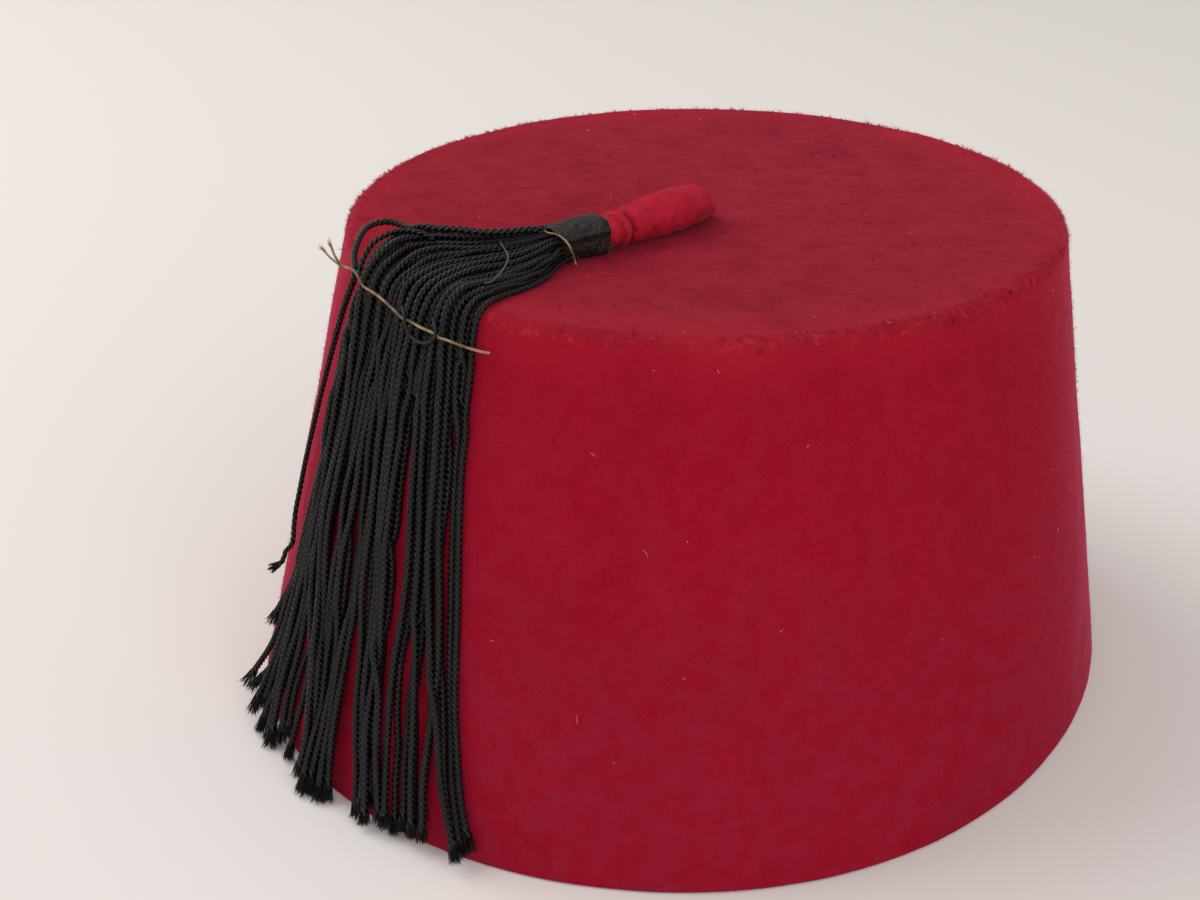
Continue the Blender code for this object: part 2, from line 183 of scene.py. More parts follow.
def square_to(run, vectors):
    """What is left of the vectors at right angles to the run."""
    return vectors - run * (vectors * run).sum(-1, keepdims=True)


def lengths_along(path):
    return np.concatenate([[0], np.cumsum(np.linalg.norm(np.diff(path, axis=0), axis=1))])


def resample(path, step, count=None):
    """Points evenly placed along a smooth curve through the path: a step apart, or this many."""
    path = np.asarray(path, float)
    before = 2 * path[:1] - path[1:2]
    after = 2 * path[-1:] - path[-2:-1]
    p = np.concatenate([before, path, after])
    t = np.linspace(0, 1, 6, endpoint=False)[None, :, None]
    p0, p1, p2, p3 = (p[i : len(p) - 3 + i, None] for i in range(4))
    fine = 0.5 * (
        2 * p1
        + (p2 - p0) * t
        + (2 * p0 - 5 * p1 + 4 * p2 - p3) * t**2
        + (3 * p1 - p0 - 3 * p2 + p3) * t**3
    )
    columns = path.shape[1]
    fine = np.concatenate([fine.reshape(-1, columns), path[-1:]])
    run = lengths_along(fine[:, :3])
    count = count or max(4, int(round(run[-1] / step)) + 1)
    at = np.linspace(0, run[-1], count)
    return np.stack([np.interp(at, run, fine[:, i]) for i in range(columns)], -1), at


def smooth(share):
    """A share from 0 to 1, eased at both ends."""
    return share * share * (3 - 2 * share)


def wander(count, length, knots, size):
    """Smooth random curves: (count, length) with about this many bends."""
    values = scatter(count, knots + 1)
    at = np.linspace(0, 1, length)
    i = np.minimum((at * knots).astype(int), knots - 1)
    f = smooth(at * knots - i)
    return (values[:, i] * (1 - f) + values[:, i + 1] * f) * size


# ---------------- camera, floor and light
CAMERA_PLACE = Vector((226.83, -309.94, 227.5)) * MM
CAMERA_AIM = Vector((-16.57, -13.61, 44.35)) * MM
CAMERA_ROLL = math.radians(0.832)
SENSOR_WIDTH = 36.0  # mm
LENS = 58.746  # mm
CLIP_START = 0.01
FLOOR_SIZE = 6.0
FLOOR_COLOUR = rgb(0.74, 0.710, 0.695)
ROOM_COLOUR, ROOM_STRENGTH = rgb(1.0, 0.965, 0.93), 0.63
LIGHT_AIM = Vector((0, 0, 0.05))
# Name, place, width, power and colour.
LIGHTS = (
    ("window", (-0.92, -0.30, 0.96), 1.3, 10.0, (1.0, 0.975, 0.95)),
    ("fill", (0.91, -0.68, 0.58), 1.3, 7.9, (0.98, 0.975, 1.0)),
)


def aimed(place, aim, roll=0.0):
    """The matrix of something at a place that looks at its aim."""
    turn = (aim - place).normalized().to_track_quat("-Z", "Y").to_matrix()
    return Matrix.Translation(place) @ (turn @ Matrix.Rotation(roll, 3, "Z")).to_4x4()


def add_camera():
    data = bpy.data.cameras.new("camera")
    data.lens = LENS
    data.sensor_width = SENSOR_WIDTH
    data.sensor_fit = "HORIZONTAL"
    data.clip_start = CLIP_START
    camera = linked("camera", data)
    camera.matrix_world = aimed(CAMERA_PLACE, CAMERA_AIM, CAMERA_ROLL)
    bpy.context.scene.camera = camera


def add_area(name, place, size, power, colour):
    data = bpy.data.lights.new(name, "AREA")
    data.shape = "DISK"
    data.size = size
    data.energy = power
    data.color = colour
    linked(name, data).matrix_world = aimed(Vector(place), LIGHT_AIM)


def add_stage():
    bpy.ops.mesh.primitive_plane_add(size=FLOOR_SIZE, location=(0, 0, 0))
    floor = bpy.context.object
    floor.name = "floor"
    floor.data.materials.append(Graph("floor", 0.8).finish(FLOOR_COLOUR))
    world = bpy.data.worlds.new("soft_room")
    world.use_nodes = True
    background = world.node_tree.nodes["Background"]
    background.inputs["Color"].default_value = ROOM_COLOUR
    background.inputs["Strength"].default_value = ROOM_STRENGTH
    bpy.context.scene.world = world
    for light in LIGHTS:
        add_area(*light)
    bpy.context.scene.view_settings.view_transform = "Standard"


# ---------------- materials
class Graph:
    """A material and short calls that add nodes to it."""

    def __init__(self, name, roughness, sheen=0.0, sheen_tint=(1, 1, 1), specular=0.5):
        self.material = bpy.data.materials.new(name)
        self.material.use_nodes = True
        self.tree = self.material.node_tree
        self.shader = self.tree.nodes["Principled BSDF"]
        self.shader.inputs["Roughness"].default_value = roughness
        self.shader.inputs["Sheen Weight"].default_value = sheen
        self.shader.inputs["Sheen Roughness"].default_value = 0.28
        self.shader.inputs["Sheen Tint"].default_value = (*sheen_tint, 1)
        self.shader.inputs["Specular IOR Level"].default_value = specular
        self.place = self.tree.nodes.new("ShaderNodeTexCoord").outputs["Object"]

    def add(self, kind, values, output=0, **settings):
        node = self.tree.nodes.new(kind)
        for key, value in settings.items():
            setattr(node, key, value)
        for key, value in values.items():
            self.put(node.inputs[key], value)
        return node.outputs[output]

    def put(self, socket, value):
        if isinstance(value, bpy.types.NodeSocket):
            self.tree.links.new(value, socket)
        else:
            socket.default_value = value

    def noise(self, size, detail=2.0, roughness=0.5, distortion=0.0, place=None):
        """Noise whose features are about this size, in metres."""
        values = {
            "Vector": place or self.place,
            "Scale": 1 / size,
            "Detail": detail,
            "Roughness": roughness,
            "Distortion": distortion,
        }
        return self.add("ShaderNodeTexNoise", values)

    def stretched(self, factors, place=None):
        return self.add("ShaderNodeMapping", {"Vector": place or self.place, "Scale": factors})

    def math(self, operation, a, b=0.0):
        return self.add("ShaderNodeMath", {0: a, 1: b}, operation=operation)

    def times(self, a, b):
        return self.math("MULTIPLY", a, b)

    def plus(self, a, b):
        return self.math("ADD", a, b)

    def span(self, value, low, high, to_low=0.0, to_high=1.0):
        values = {
            "Value": value,
            "From Min": low,
            "From Max": high,
            "To Min": to_low,
            "To Max": to_high,
        }
        return self.add("ShaderNodeMapRange", values, interpolation_type="SMOOTHSTEP")

    def mix(self, factor, a, b):
        """Colour a where the factor is 0, and b where it is 1. The sockets are the RGBA ones."""
        return self.add("ShaderNodeMix", {0: factor, 6: a, 7: b}, output=2, data_type="RGBA")

    def facing_up(self):
        normal = self.add("ShaderNodeNewGeometry", {}, output=1)
        return self.add("ShaderNodeSeparateXYZ", {0: normal}, output=2)

    def bump(self, height, strength, distance, under=None):
        values = {"Height": height, "Strength": strength, "Distance": distance}
        if under is not None:
            values["Normal"] = under
        return self.add("ShaderNodeBump", values)

    def finish(self, colour, normal=None):
        self.put(self.shader.inputs["Base Color"], colour)
        if normal is not None:
            self.put(self.shader.inputs["Normal"], normal)
        return self.material


FELT_DARK = rgb(0.238, 0.0024, 0.0140)
FELT_LIGHT = rgb(0.292, 0.0042, 0.0190)
FELT_SPECK = rgb(0.150, 0.0030, 0.0110)
# The crown's streaky tones: the streaks are the felt's grain, and their paleness next to the wall is
# partly painted sheen.
TOP_DARK = rgb(0.190, 0.0052, 0.0138)
TOP_LIGHT = rgb(0.270, 0.0095, 0.0220)
FELT_WORN = rgb(0.400, 0.0260, 0.0320)
FELT_SOILED = rgb(0.160, 0.0160, 0.0190)
FELT_FADED = rgb(0.325, 0.0100, 0.0180)
FELT_PALE_LOW = rgb(0.190, 0.0125, 0.0275)
GRAIN_TURN = math.radians(-40.0)  # the crown's streaks run at 40 degrees from +X


def felt_material():
    g = Graph("wool_felt", 0.95, sheen=0.40, sheen_tint=(1.0, 0.18, 0.33), specular=0.05)
    blotch = g.noise(24 * MM, detail=3)
    clump = g.noise(4.5 * MM, detail=4, roughness=0.6)
    grain = g.noise(0.8 * MM, detail=2, roughness=0.6)
    tone = g.plus(g.times(blotch, 0.20), g.times(clump, 0.35))
    tone = g.plus(tone, g.times(grain, 0.45))
    colour = g.mix(g.span(tone, 0.34, 0.66), FELT_DARK, FELT_LIGHT)
    up = g.facing_up()
    turned = g.add("ShaderNodeMapping", {"Vector": g.place, "Rotation": (0, 0, GRAIN_TURN)})
    streak = g.noise(1.0, detail=4, roughness=0.65, place=g.stretched((300, 520, 420), turned))
    patch = g.noise(9 * MM, detail=3)
    top_tone = g.plus(g.times(streak, 0.55), g.times(patch, 0.45))
    top = g.mix(g.span(top_tone, 0.34, 0.64), TOP_DARK, TOP_LIGHT)
    # where the felt faces up it takes the crown tones, which are partly painted sheen
    colour = g.mix(g.span(up, 0.50, 0.97), colour, top)
    height = g.add("ShaderNodeSeparateXYZ", {0: g.place}, output=2)
    flat = g.stretched((1, 1, 0))
    radius = g.add("ShaderNodeVectorMath", {0: flat}, output=1, operation="LENGTH")
    faded = g.times(g.span(radius, 58 * MM, 72 * MM), g.span(height, 89 * MM, 99 * MM))
    faded = g.times(faded, g.span(blotch, 0.35, 0.65, 0.20, 0.70))
    mottle = g.plus(g.times(patch, 0.4), g.times(clump, 0.6))
    # paler and less red towards the bottom, in blotches
    low = g.span(height, 75 * MM, 15 * MM, 0.2, 0.56)
    low_paling = g.times(g.span(mottle, 0.40, 0.60, 0.25, 0.85), low)
    colour = g.mix(low_paling, colour, FELT_PALE_LOW)
    colour = g.mix(faded, colour, FELT_FADED)
    band = g.times(g.span(up, 0.22, 0.45), g.span(up, 0.998, 0.90))
    rubbed = g.noise(1.8 * MM, detail=3, roughness=0.7)
    worn = g.times(band, g.span(rubbed, 0.52, 0.68, 0.0, 0.6))
    colour = g.mix(worn, colour, FELT_WORN)
    soiled = g.times(band, g.span(rubbed, 0.46, 0.36, 0.0, 0.3))
    colour = g.mix(soiled, colour, FELT_SOILED)
    speck = g.noise(1.5 * MM, detail=2, roughness=0.6)
    colour = g.mix(g.span(speck, 0.68, 0.78, 0.0, 0.6), colour, FELT_SPECK)
    soft = g.bump(clump, 0.35, 0.20 * MM)
    normal = g.bump(grain, 0.5, 0.12 * MM, under=soft)
    return g.finish(colour, normal)


# Name, roughness, size of the features, the span of the noise, and its two colours.
FUZZ_WOOL = ("wool_fibre", 0.85, 2 * MM, (0.35, 0.65), rgb(0.36, 0.012, 0.038), rgb(0.54, 0.042, 0.090))
PILL_WOOL = ("wool_pill", 0.9, 3 * MM, (0.40, 0.60), rgb(0.24, 0.008, 0.018), rgb(0.38, 0.020, 0.032))


def wool_material(name, roughness, size, span, dark, light):
    g = Graph(name, roughness, specular=0.1)
    return g.finish(g.mix(g.span(g.noise(size), *span), dark, light))


STEM_SHADES = (rgb(0.270, 0.0044, 0.0190), rgb(0.420, 0.0100, 0.0300))
# painted light: the stem is lighter where it faces up
STEM_LIT = rgb(0.42, 0.0150, 0.034)  # where it faces up
# painted shade along the stem's creases
STEM_CREASE_SHADE = rgb(0.085, 0.0020, 0.0100)
STEM_FIBRE = rgb(0.52, 0.022, 0.046)


def stem_material():
    g = Graph("stem_felt", 0.93, sheen=0.10, sheen_tint=(1.0, 0.35, 0.35), specular=0.12)
    clump = g.noise(2.2 * MM, detail=4, roughness=0.6, distortion=0.5)
    grain = g.noise(0.5 * MM, detail=2)
    up = g.facing_up()
    colour = g.mix(g.span(clump, 0.34, 0.66), *STEM_SHADES)
    # painted light on the stem's upper side
    colour = g.mix(g.span(up, -0.2, 0.9, 0.0, 0.5), colour, STEM_LIT)
    length = g.add("ShaderNodeSeparateXYZ", {0: g.place}, output=1)
    length = g.plus(length, g.times(clump, 1.6 * MM))
    # painted shade along each crease, darker for deeper creases
    for y, depth, width in STEM_CREASES:
        away = g.math("ABSOLUTE", g.math("SUBTRACT", length, (y + 0.8) * MM))
        shade = g.span(away, 0.2 * width * MM, 1.4 * width * MM, min(depth, 0.85), 0.0)
        colour = g.mix(shade, colour, STEM_CREASE_SHADE)
    soft = g.bump(clump, 0.6, 0.25 * MM)
    return g.finish(colour, g.bump(grain, 0.5, 0.10 * MM, under=soft))


RIBBON_SHADES = (rgb(0.0040, 0.0028, 0.0030), rgb(0.0120, 0.0098, 0.0088))
RIBBON_SLUB = rgb(0.0480, 0.0420, 0.0350)
RIBBON_THREAD = rgb(0.085, 0.080, 0.062)


def ribbon_material():
    g = Graph("black_ribbon", 0.65, specular=0.22)
    weave = g.noise(1.0, detail=1, place=g.stretched((5200, 1400, 3000)))
    cloud = g.noise(2.5 * MM, detail=3)
    colour = g.mix(g.span(cloud, 0.35, 0.65), *RIBBON_SHADES)
    slub = g.noise(0.55 * MM, detail=2, roughness=0.7)
    colour = g.mix(g.span(slub, 0.50, 0.66, 0.0, 0.75), colour, RIBBON_SLUB)
    crease = g.bump(cloud, 0.5, 0.4 * MM)
    return g.finish(colour, g.bump(weave, 0.5, 0.05 * MM, under=crease))


CORD_SHADES = (rgb(0.0048, 0.0038, 0.0042), rgb(0.0128, 0.0108, 0.0114))
# painted highlight: glints along the plies
CORD_GLINT = rgb(0.052, 0.046, 0.048)
# painted shade in the grooves where one ply meets the next
CORD_GROOVE_SHADE = rgb(0.0008, 0.0006, 0.0007)


def cord_material():
    """Glossy twisted rayon, with painted shade in the grooves and painted highlight glints on the
    plies.
    """
    g = Graph("black_rayon", 0.34, specular=0.22)
    round_cord = g.tree.nodes.new("ShaderNodeUVMap").outputs[0]
    turn = g.add("ShaderNodeSeparateXYZ", {0: round_cord}, output=1)
    plies = g.math("SUBTRACT", g.times(turn, float(PLIES)), 0.25)
    groove = g.math("PINGPONG", plies, 0.5)
    filament = g.noise(1.0, detail=2, place=g.stretched((1.1, 40, 1), place=round_cord))
    cloud = g.noise(7 * MM, detail=3)
    colour = g.mix(g.span(cloud, 0.3, 0.7), *CORD_SHADES)
    # painted highlight glints along the filaments
    colour = g.mix(g.span(filament, 0.52, 0.72, 0.0, 0.6), colour, CORD_GLINT)
    # painted shade in the grooves between the plies
    colour = g.mix(g.span(groove, 0.04, 0.30), colour, CORD_GROOVE_SHADE)
    hollow = g.bump(g.math("SUBTRACT", 0.5, groove), 1.0, 0.22 * MM)
    return g.finish(colour, g.bump(filament, 0.6, 0.08 * MM, under=hollow))


def thread_material(name, dark, light, roughness):
    g = Graph(name, roughness, specular=0.25)
    shade = g.noise(2.6 * MM, detail=3)
    fibre = g.noise(0.3 * MM, detail=2)
    colour = g.mix(g.span(shade, 0.3, 0.7), dark, light)
    return g.finish(colour, g.bump(fibre, 0.5, 0.05 * MM))


# ---------------- the cap
def arc(centre, radius, start, end, steps):
    turns = np.linspace(start, end, steps + 1)
    return np.stack([centre[0] + radius * np.cos(turns), centre[1] + radius * np.sin(turns)], -1)


def run_of(start, end, pitch):
    """Points strictly between two profile points, about a pitch apart."""
    start, end = np.array(start), np.array(end)
    count = int(np.linalg.norm(end - start) / pitch)
    return start + (end - start) * np.linspace(0, 1, count + 2)[1:-1, None]


CROWN_PITCH = 1.3 * MM
WALL_PITCH = 1.5 * MM
INNER_PITCH = 3.0 * MM
AROUND = 256
EDGE_STEPS, RIM_STEPS, BEND_STEPS = 7, 4, 3
INNER_CORNER = 0.8 * MM


def cap_profile():
    """Radius and height round the felt, from the crown's middle to the crown's underside."""
    up, down = math.pi / 2, -math.pi / 2
    radii = np.arange(CROWN_PITCH, EDGE_CENTRE_RADIUS, CROWN_PITCH)
    crown = np.stack([radii, crown_height(radii)], -1)
    edge = arc((EDGE_CENTRE_RADIUS, EDGE_CENTRE_HEIGHT), EDGE_RADIUS, up, TAPER, EDGE_STEPS)
    rim = arc((RIM_RADIUS - RIM_ROUNDING, RIM_ROUNDING), RIM_ROUNDING, TAPER, down, RIM_STEPS)
    inner_rim = RIM_RADIUS - FELT / math.cos(TAPER)
    hem = arc((inner_rim + RIM_ROUNDING, RIM_ROUNDING), RIM_ROUNDING, down, -math.pi - TAPER, RIM_STEPS)
    ceiling = CAP_HEIGHT - FELT
    inner_crown = inner_rim - ceiling * math.tan(TAPER)
    corner = (inner_crown - INNER_CORNER, ceiling - INNER_CORNER)
    bend = arc(corner, INNER_CORNER, TAPER, up, BEND_STEPS)
    inner_radii = np.arange(EDGE_CENTRE_RADIUS - INNER_PITCH, INNER_PITCH, -INNER_PITCH)
    underside = np.stack([inner_radii, crown_height(inner_radii) - FELT], -1)
    wall = run_of(edge[-1], rim[0], WALL_PITCH)
    inner_wall = run_of(hem[-1], bend[0], INNER_PITCH)
    return np.concatenate([crown, edge, wall, rim, hem, inner_wall, bend, underside])


def noise_at(points, size, seed):
    """Smooth noise from -1 to 1 at each point, with features of about this size."""
    shift = Vector((seed * 7.3, seed * 3.1, seed * 5.7))
    return np.array([noise.noise(Vector(p) / size + shift) for p in points])


def layered(points, layers):
    """A sum of noises: the height of each, the size of its features in mm, and its seed."""
    return sum(height * noise_at(points, size * MM, seed) for height, size, seed in layers)


# Height in mm, size of the features in mm, and seed.
FELT_WAVES = ((0.20, 17, 1), (0.08, 5, 2), (0.04, 1.9, 3))
RIM_LIFTS = ((0.10, 21, 4), (0.06, 6, 5))
RIM_REACH = 7 * MM  # how far up the wall the rim's unevenness goes
RIM_ROUND = 95.0  # mm, the radius on which the rim's noise is read


def cap_rings(profile):
    """The profile turned round the head's oval, with slow waves and an uneven rim."""
    turns = np.linspace(0, TURN, AROUND, endpoint=False)
    radius, height = profile[:, :1], profile[:, 1:]
    rings = around(turns, radius * head_factor(turns, height), height)
    waves = layered(rings.reshape(-1, 3), FELT_WAVES).reshape(rings.shape[:2])
    rings = rings + felt_offset(rings)[1] * (waves * MM)[..., None]
    rim = around(turns, RIM_ROUND, 0.0) * MM
    lifts = [size * (0.5 + 0.5 * noise_at(rim, wide * MM, seed)) for size, wide, seed in RIM_LIFTS]
    near_rim = np.clip(1 - height / RIM_REACH, 0, 1)
    rings[..., 2] += near_rim * sum(lifts) * MM
    return rings


def cap_part():
    profile = cap_profile()
    rings = cap_rings(profile)
    index = np.arange(len(profile) * AROUND).reshape(len(profile), AROUND)
    ahead = np.roll(index, -1, axis=1)
    quads = np.stack([index[:-1], index[1:], ahead[1:], ahead[:-1]], -1).reshape(-1)
    sizes = np.full(len(quads) // 4, 4)
    middles = np.array([[0, 0, crown_height(0.0)], [0, 0, crown_height(0.0) - FELT]])
    top, bottom = index.size, index.size + 1
    lids = [np.stack([index[0], ahead[0], np.full(AROUND, top)], -1).reshape(-1)]
    lids.append(np.stack([ahead[-1], index[-1], np.full(AROUND, bottom)], -1).reshape(-1))
    points = np.concatenate([rings.reshape(-1, 3), middles])
    return points, np.concatenate([quads, *lids]), np.append(sizes, np.full(2 * AROUND, 3))


# ---------------- fibres
def triangles(centres, side, other, radii=1.0):
    """Three corners round each centre, one row of them after another."""
    thirds = (0, TURN / 3, 2 * TURN / 3)
    return [centres + (side * math.cos(t) + other * math.sin(t)) * radii for t in thirds]


SPIKE = np.array([0, 1, 4, 3, 1, 2, 5, 4, 2, 0, 3, 5, 3, 4, 6, 4, 5, 6, 5, 3, 6, 2, 1, 0])
SPIKE_SIZES = np.array([4, 4, 4, 3, 3, 3, 3])


def spikes(roots, leave, arrive, lengths, radii, knee=0.5, waist=0.7):
    """Thin bent fibres with three sides, from their roots to a point, bent at a share of the length."""
    count = len(roots)
    leave, arrive = unit(leave), unit(arrive)
    lengths = np.broadcast_to(lengths, count)[:, None]
    middle = roots + leave * lengths * knee
    tip = middle + arrive * lengths * (1 - knee)
    side = unit(np.cross(leave, scatter(count, 3)))
    other = np.cross(leave, side)
    radii = np.broadcast_to(radii, count)[:, None]
    base, bend = triangles(roots, side, other, radii), triangles(middle, side, other, radii * waist)
    points = np.stack([*base, *bend, tip], 1).reshape(-1, 3)
    faces = (np.arange(count)[:, None] * 7 + SPIKE).reshape(-1)
    return points, faces, np.tile(SPIKE_SIZES, count)


BRISTLE = np.array([0, 1, 3, 1, 2, 3, 2, 0, 3, 2, 1, 0])


def bristles(roots, run, lengths, radii):
    """Short straight fibres with three sides."""
    count = len(roots)
    run = unit(run)
    side = unit(np.cross(run, scatter(count, 3))) * radii[:, None]
    base = triangles(roots, side, np.cross(run, side))
    points = np.stack([*base, roots + run * lengths[:, None]], 1).reshape(-1, 3)
    faces = (np.arange(count)[:, None] * 4 + BRISTLE).reshape(-1)
    return points, faces, np.full(4 * count, 3)


def outer_skin_points(count):
    """Random points of the cap's outer skin, with their normals."""
    wall_area = math.pi * (RIM_RADIUS + CROWN_RADIUS) * CAP_HEIGHT
    crown_area = math.pi * CROWN_RADIUS**2
    on_top = rng.random(count) < crown_area / (wall_area + crown_area)
    turns = rng.uniform(0, TURN, count)
    heights = rng.uniform(LOWEST_ROOT, EDGE_CENTRE_HEIGHT, count)
    wall = on_wall(turns, heights, 0.0)
    radii = EDGE_CENTRE_RADIUS * np.sqrt(rng.random(count)) * head_factor(turns, CAP_HEIGHT)
    crown = on_crown(radii * np.cos(turns), radii * np.sin(turns), 0.0)
    points = np.where(on_top[:, None], crown, wall)
    edge = rng.random(count) < EDGE_FIBRES
    tilts = rng.uniform(TAPER, math.pi / 2, count)
    points = np.where(edge[:, None], on_edge(turns, tilts, 0.0), points)
    return points, felt_offset(points)[1]


LOWEST_ROOT = 0.8 * MM
LONG_FIBRES = 9000
LONG_LENGTHS = (-0.20, 0.50, 0.3, 3.0)  # middle, spread, least and most
LONG_RADII = (0.020, 0.042)  # mm
SHORT_FIBRES = 26000
SHORT_LENGTHS = (0.50, 1.15)  # mm
SHORT_RADII = (0.028, 0.050)
EDGE_FIBRES = 0.14  # the share of them on the crown's edge
PILLS, EDGE_PILLS = 300, 70
PILL_SIZES, EDGE_PILL_SIZES = (0.08, 0.24), (0.14, 0.42)  # mm
PILL_STRAY = 1.1  # how freely they also lie on the wall
PILL_TILTS = (0.6, 1.5)  # where they are round the crown's edge
PILL_FIBRES = 8
PILL_LENGTHS = (1.8, 3.4)  # of its fibres, as multiples of its size
PILL_RADIUS = 0.045 * MM
SUNK = 0.15 * MM  # how deep the fibres' roots are in the felt


def fuzz_parts():
    roots, normals = outer_skin_points(LONG_FIBRES)
    lean = scatter(LONG_FIBRES, 3)
    curl = scatter(LONG_FIBRES, 3)
    lengths = uneven(LONG_FIBRES, *LONG_LENGTHS)
    radii = rng.uniform(*LONG_RADII, LONG_FIBRES) * MM
    leave = normals * 0.9 + lean * 0.55
    arrive = normals * 0.35 + lean * 0.4 + curl * 0.7
    long_ones = spikes(roots - normals * SUNK, leave, arrive, lengths, radii)
    roots, normals = outer_skin_points(SHORT_FIBRES)
    lean = scatter(SHORT_FIBRES, 3)
    lengths = rng.uniform(*SHORT_LENGTHS, SHORT_FIBRES) * MM
    radii = rng.uniform(*SHORT_RADII, SHORT_FIBRES) * MM
    short_ones = bristles(roots - normals * SUNK, normals + lean * 0.7, lengths, radii)
    return long_ones, short_ones


def pills_part():
    """Small tangles of wool, most of them on the crown and its edge."""
    spots, normals = outer_skin_points(4 * PILLS)
    order = np.argsort(normals[:, 2] + rng.uniform(0, PILL_STRAY, 4 * PILLS))[-PILLS:]
    turns, tilts = rng.uniform(0, TURN, EDGE_PILLS), rng.uniform(*PILL_TILTS, EDGE_PILLS)
    spots = np.concatenate([spots[order], on_edge(turns, tilts, 0.1 * MM)])
    spots = np.repeat(spots, PILL_FIBRES, axis=0)
    normals = felt_offset(spots)[1]
    count = len(spots)
    size = np.append(rng.uniform(*PILL_SIZES, PILLS), rng.uniform(*EDGE_PILL_SIZES, EDGE_PILLS))
    size = np.repeat(size, PILL_FIBRES)[:, None] * MM
    lean = scatter(count, 3)
    curl = scatter(count, 3)
    roots = spots + lean * size * 0.6
    leave = normals * 0.4 + curl
    lengths = size[:, 0] * rng.uniform(*PILL_LENGTHS, count)
    return spikes(roots, leave, normals * 0.3 - curl, lengths, PILL_RADIUS)


def add_cap():
    add_piece("felt_cap", [cap_part()], felt_material(), ["felt_body"])
    add_piece("felt_fuzz", fuzz_parts(), wool_material(*FUZZ_WOOL))
    add_piece("felt_pills", [pills_part()], wool_material(*PILL_WOOL))


# ---------------- pieces that lie on the crown
# Columns: x, y, width, height and lift above the felt, in millimetres.
STEM = (
    (1.7, -2.0, 0.8, 0.6, 0.3), (1.7, -2.6, 2.8, 1.9, 0.3), (1.8, -3.8, 4.9, 3.4, 0.3),
    (2.2, -6.8, 7.1, 6.5, 0.3), (2.6, -9.3, 8.2, 8.0, 0.3), (2.7, -12.4, 8.7, 8.2, 0.3),
    (2.6, -15.9, 9.1, 8.5, 0.3), (2.1, -19.8, 8.9, 8.3, 0.3), (1.5, -23.4, 8.5, 7.9, 0.3),
    (0.9, -27.0, 7.9, 7.3, 0.4), (0.8, -29.2, 7.3, 6.6, 0.6), (0.7, -30.8, 7.9, 7.0, 0.4),
    (0.5, -32.0, 8.0, 6.9, 0.4), (0.4, -33.7, 7.4, 5.9, 1.0), (0.2, -35.2, 6.6, 4.8, 1.5),
    (-0.4, -37.0, 6.2, 4.4, 1.5),
)
COLLAR = (
    (0.0, -35.0, 9.3, 7.1, 0.3), (-0.5, -36.6, 9.3, 7.0, 0.3), (-1.1, -38.4, 9.2, 6.9, 0.3),
    (-2.1, -40.8, 9.0, 6.5, 0.3), (-3.1, -43.0, 8.8, 6.2, 0.3), (-3.9, -44.9, 8.7, 6.0, 0.3),
)
MOUTH_SLANT = 1.5  # mm, how much more the ribbon's mouth reaches out on its left than midway
STEM_SIDES, STEM_STEP = 48, 0.4 * MM
STEM_FIBRES, STEM_FIBRE_RADIUS = 7000, 0.022 * MM
STEM_LENGTHS = (-0.65, 0.45, 0.25, 1.6)
STEM_FUZZ_END = -34.2 * MM  # y, where the stem goes into the collar
# Height in mm, size of the features in mm, and seed.
STEM_WAVES = ((0.28, 4.6, 6), (0.16, 1.8, 7), (0.09, 0.8, 8))
COLLAR_SIDES, COLLAR_STEP = 72, 0.25 * MM
COLLAR_SQUARE = 0.62
RIBBON = 0.4 * MM
RIBBON_FIBRES = 420
CROWN_GAP = 0.1 * MM
FOLD_TURN, FOLD_SLANT = 164.0, 6.0  # the ribbon's lengthwise fold, degrees round the collar
FOLD_DEPTH = 0.75  # mm
FOLD_LIP = 0.045  # radians, how sharp its lip is
FOLD_END, FOLD_FADE = 1.5, 0.6  # radians past the lip, where it has faded out, and over how much
BEAD_HEIGHT, BEAD_BEFORE, BEAD_WIDTH = 0.16, 0.10, 0.12  # the lip's bead: mm, and radians
RAGGED = 0.5  # mm, how uneven the ribbon's ends are
END_SHARE = 0.2  # of its length
# Creases round the stem, pressed into its shape and with painted shade along them: y in mm, depth and
# width in mm.
STEM_CREASES = ((-29.2, 0.95, 0.6), (-32.4, 0.35, 0.6), (-25.0, 0.20, 1.0), (-14.0, 0.12, 1.2))


def crown_rings(rows, sides, square=1.0):
    """Oval rings across the run, boxier as square falls below 1, with their outward normals."""
    middles = on_crown(rows[:, 0], rows[:, 1], rows[:, 4] + rows[:, 3] / 2)
    run = np.gradient(middles, axis=0)
    run[:, 2] = 0
    run = unit(run)
    across = np.cross(run, (0, 0, 1.0))
    turns = np.linspace(0, TURN, sides, endpoint=False)
    c, s = np.cos(turns), np.sin(turns)
    c = np.sign(c) * np.abs(c) ** square
    s = np.sign(s) * np.abs(s) ** square
    out = across[:, None] * c[None, :, None] + np.array([0, 0, 1.0]) * s[None, :, None]
    side = across[:, None] * (c[None, :] * rows[:, 2:3] / 2)[..., None]
    rise = np.array([0, 0, 1.0]) * (s[None, :] * rows[:, 3:4] / 2)[..., None]
    return middles[:, None] + side + rise, unit(out), turns


def on_felt(rings):
    """Rings kept from sinking into the crown."""
    least = on_crown(rings[..., 0], rings[..., 1], CROWN_GAP)[..., 2]
    rings[..., 2] = np.maximum(rings[..., 2], least)
    return rings


def stem_surface():
    """The stem's rings, with their outward directions."""
    rows, _ = resample(np.array(STEM) * MM, STEM_STEP)
    rings, out, _ = crown_rings(rows, STEM_SIDES)
    pinch = np.zeros(len(rows))
    for y, depth, width in STEM_CREASES:
        pinch += depth * np.exp(-(((rows[:, 1] / MM - y) / width) ** 2))
    swell = layered(rings.reshape(-1, 3), STEM_WAVES).reshape(out.shape[:2])
    room = np.clip(rows[:, 2] / (4 * MM), 0.1, 1)[:, None]
    off = (swell * room - pinch[:, None] * room) * MM
    return on_felt(rings + out * off[..., None]), out


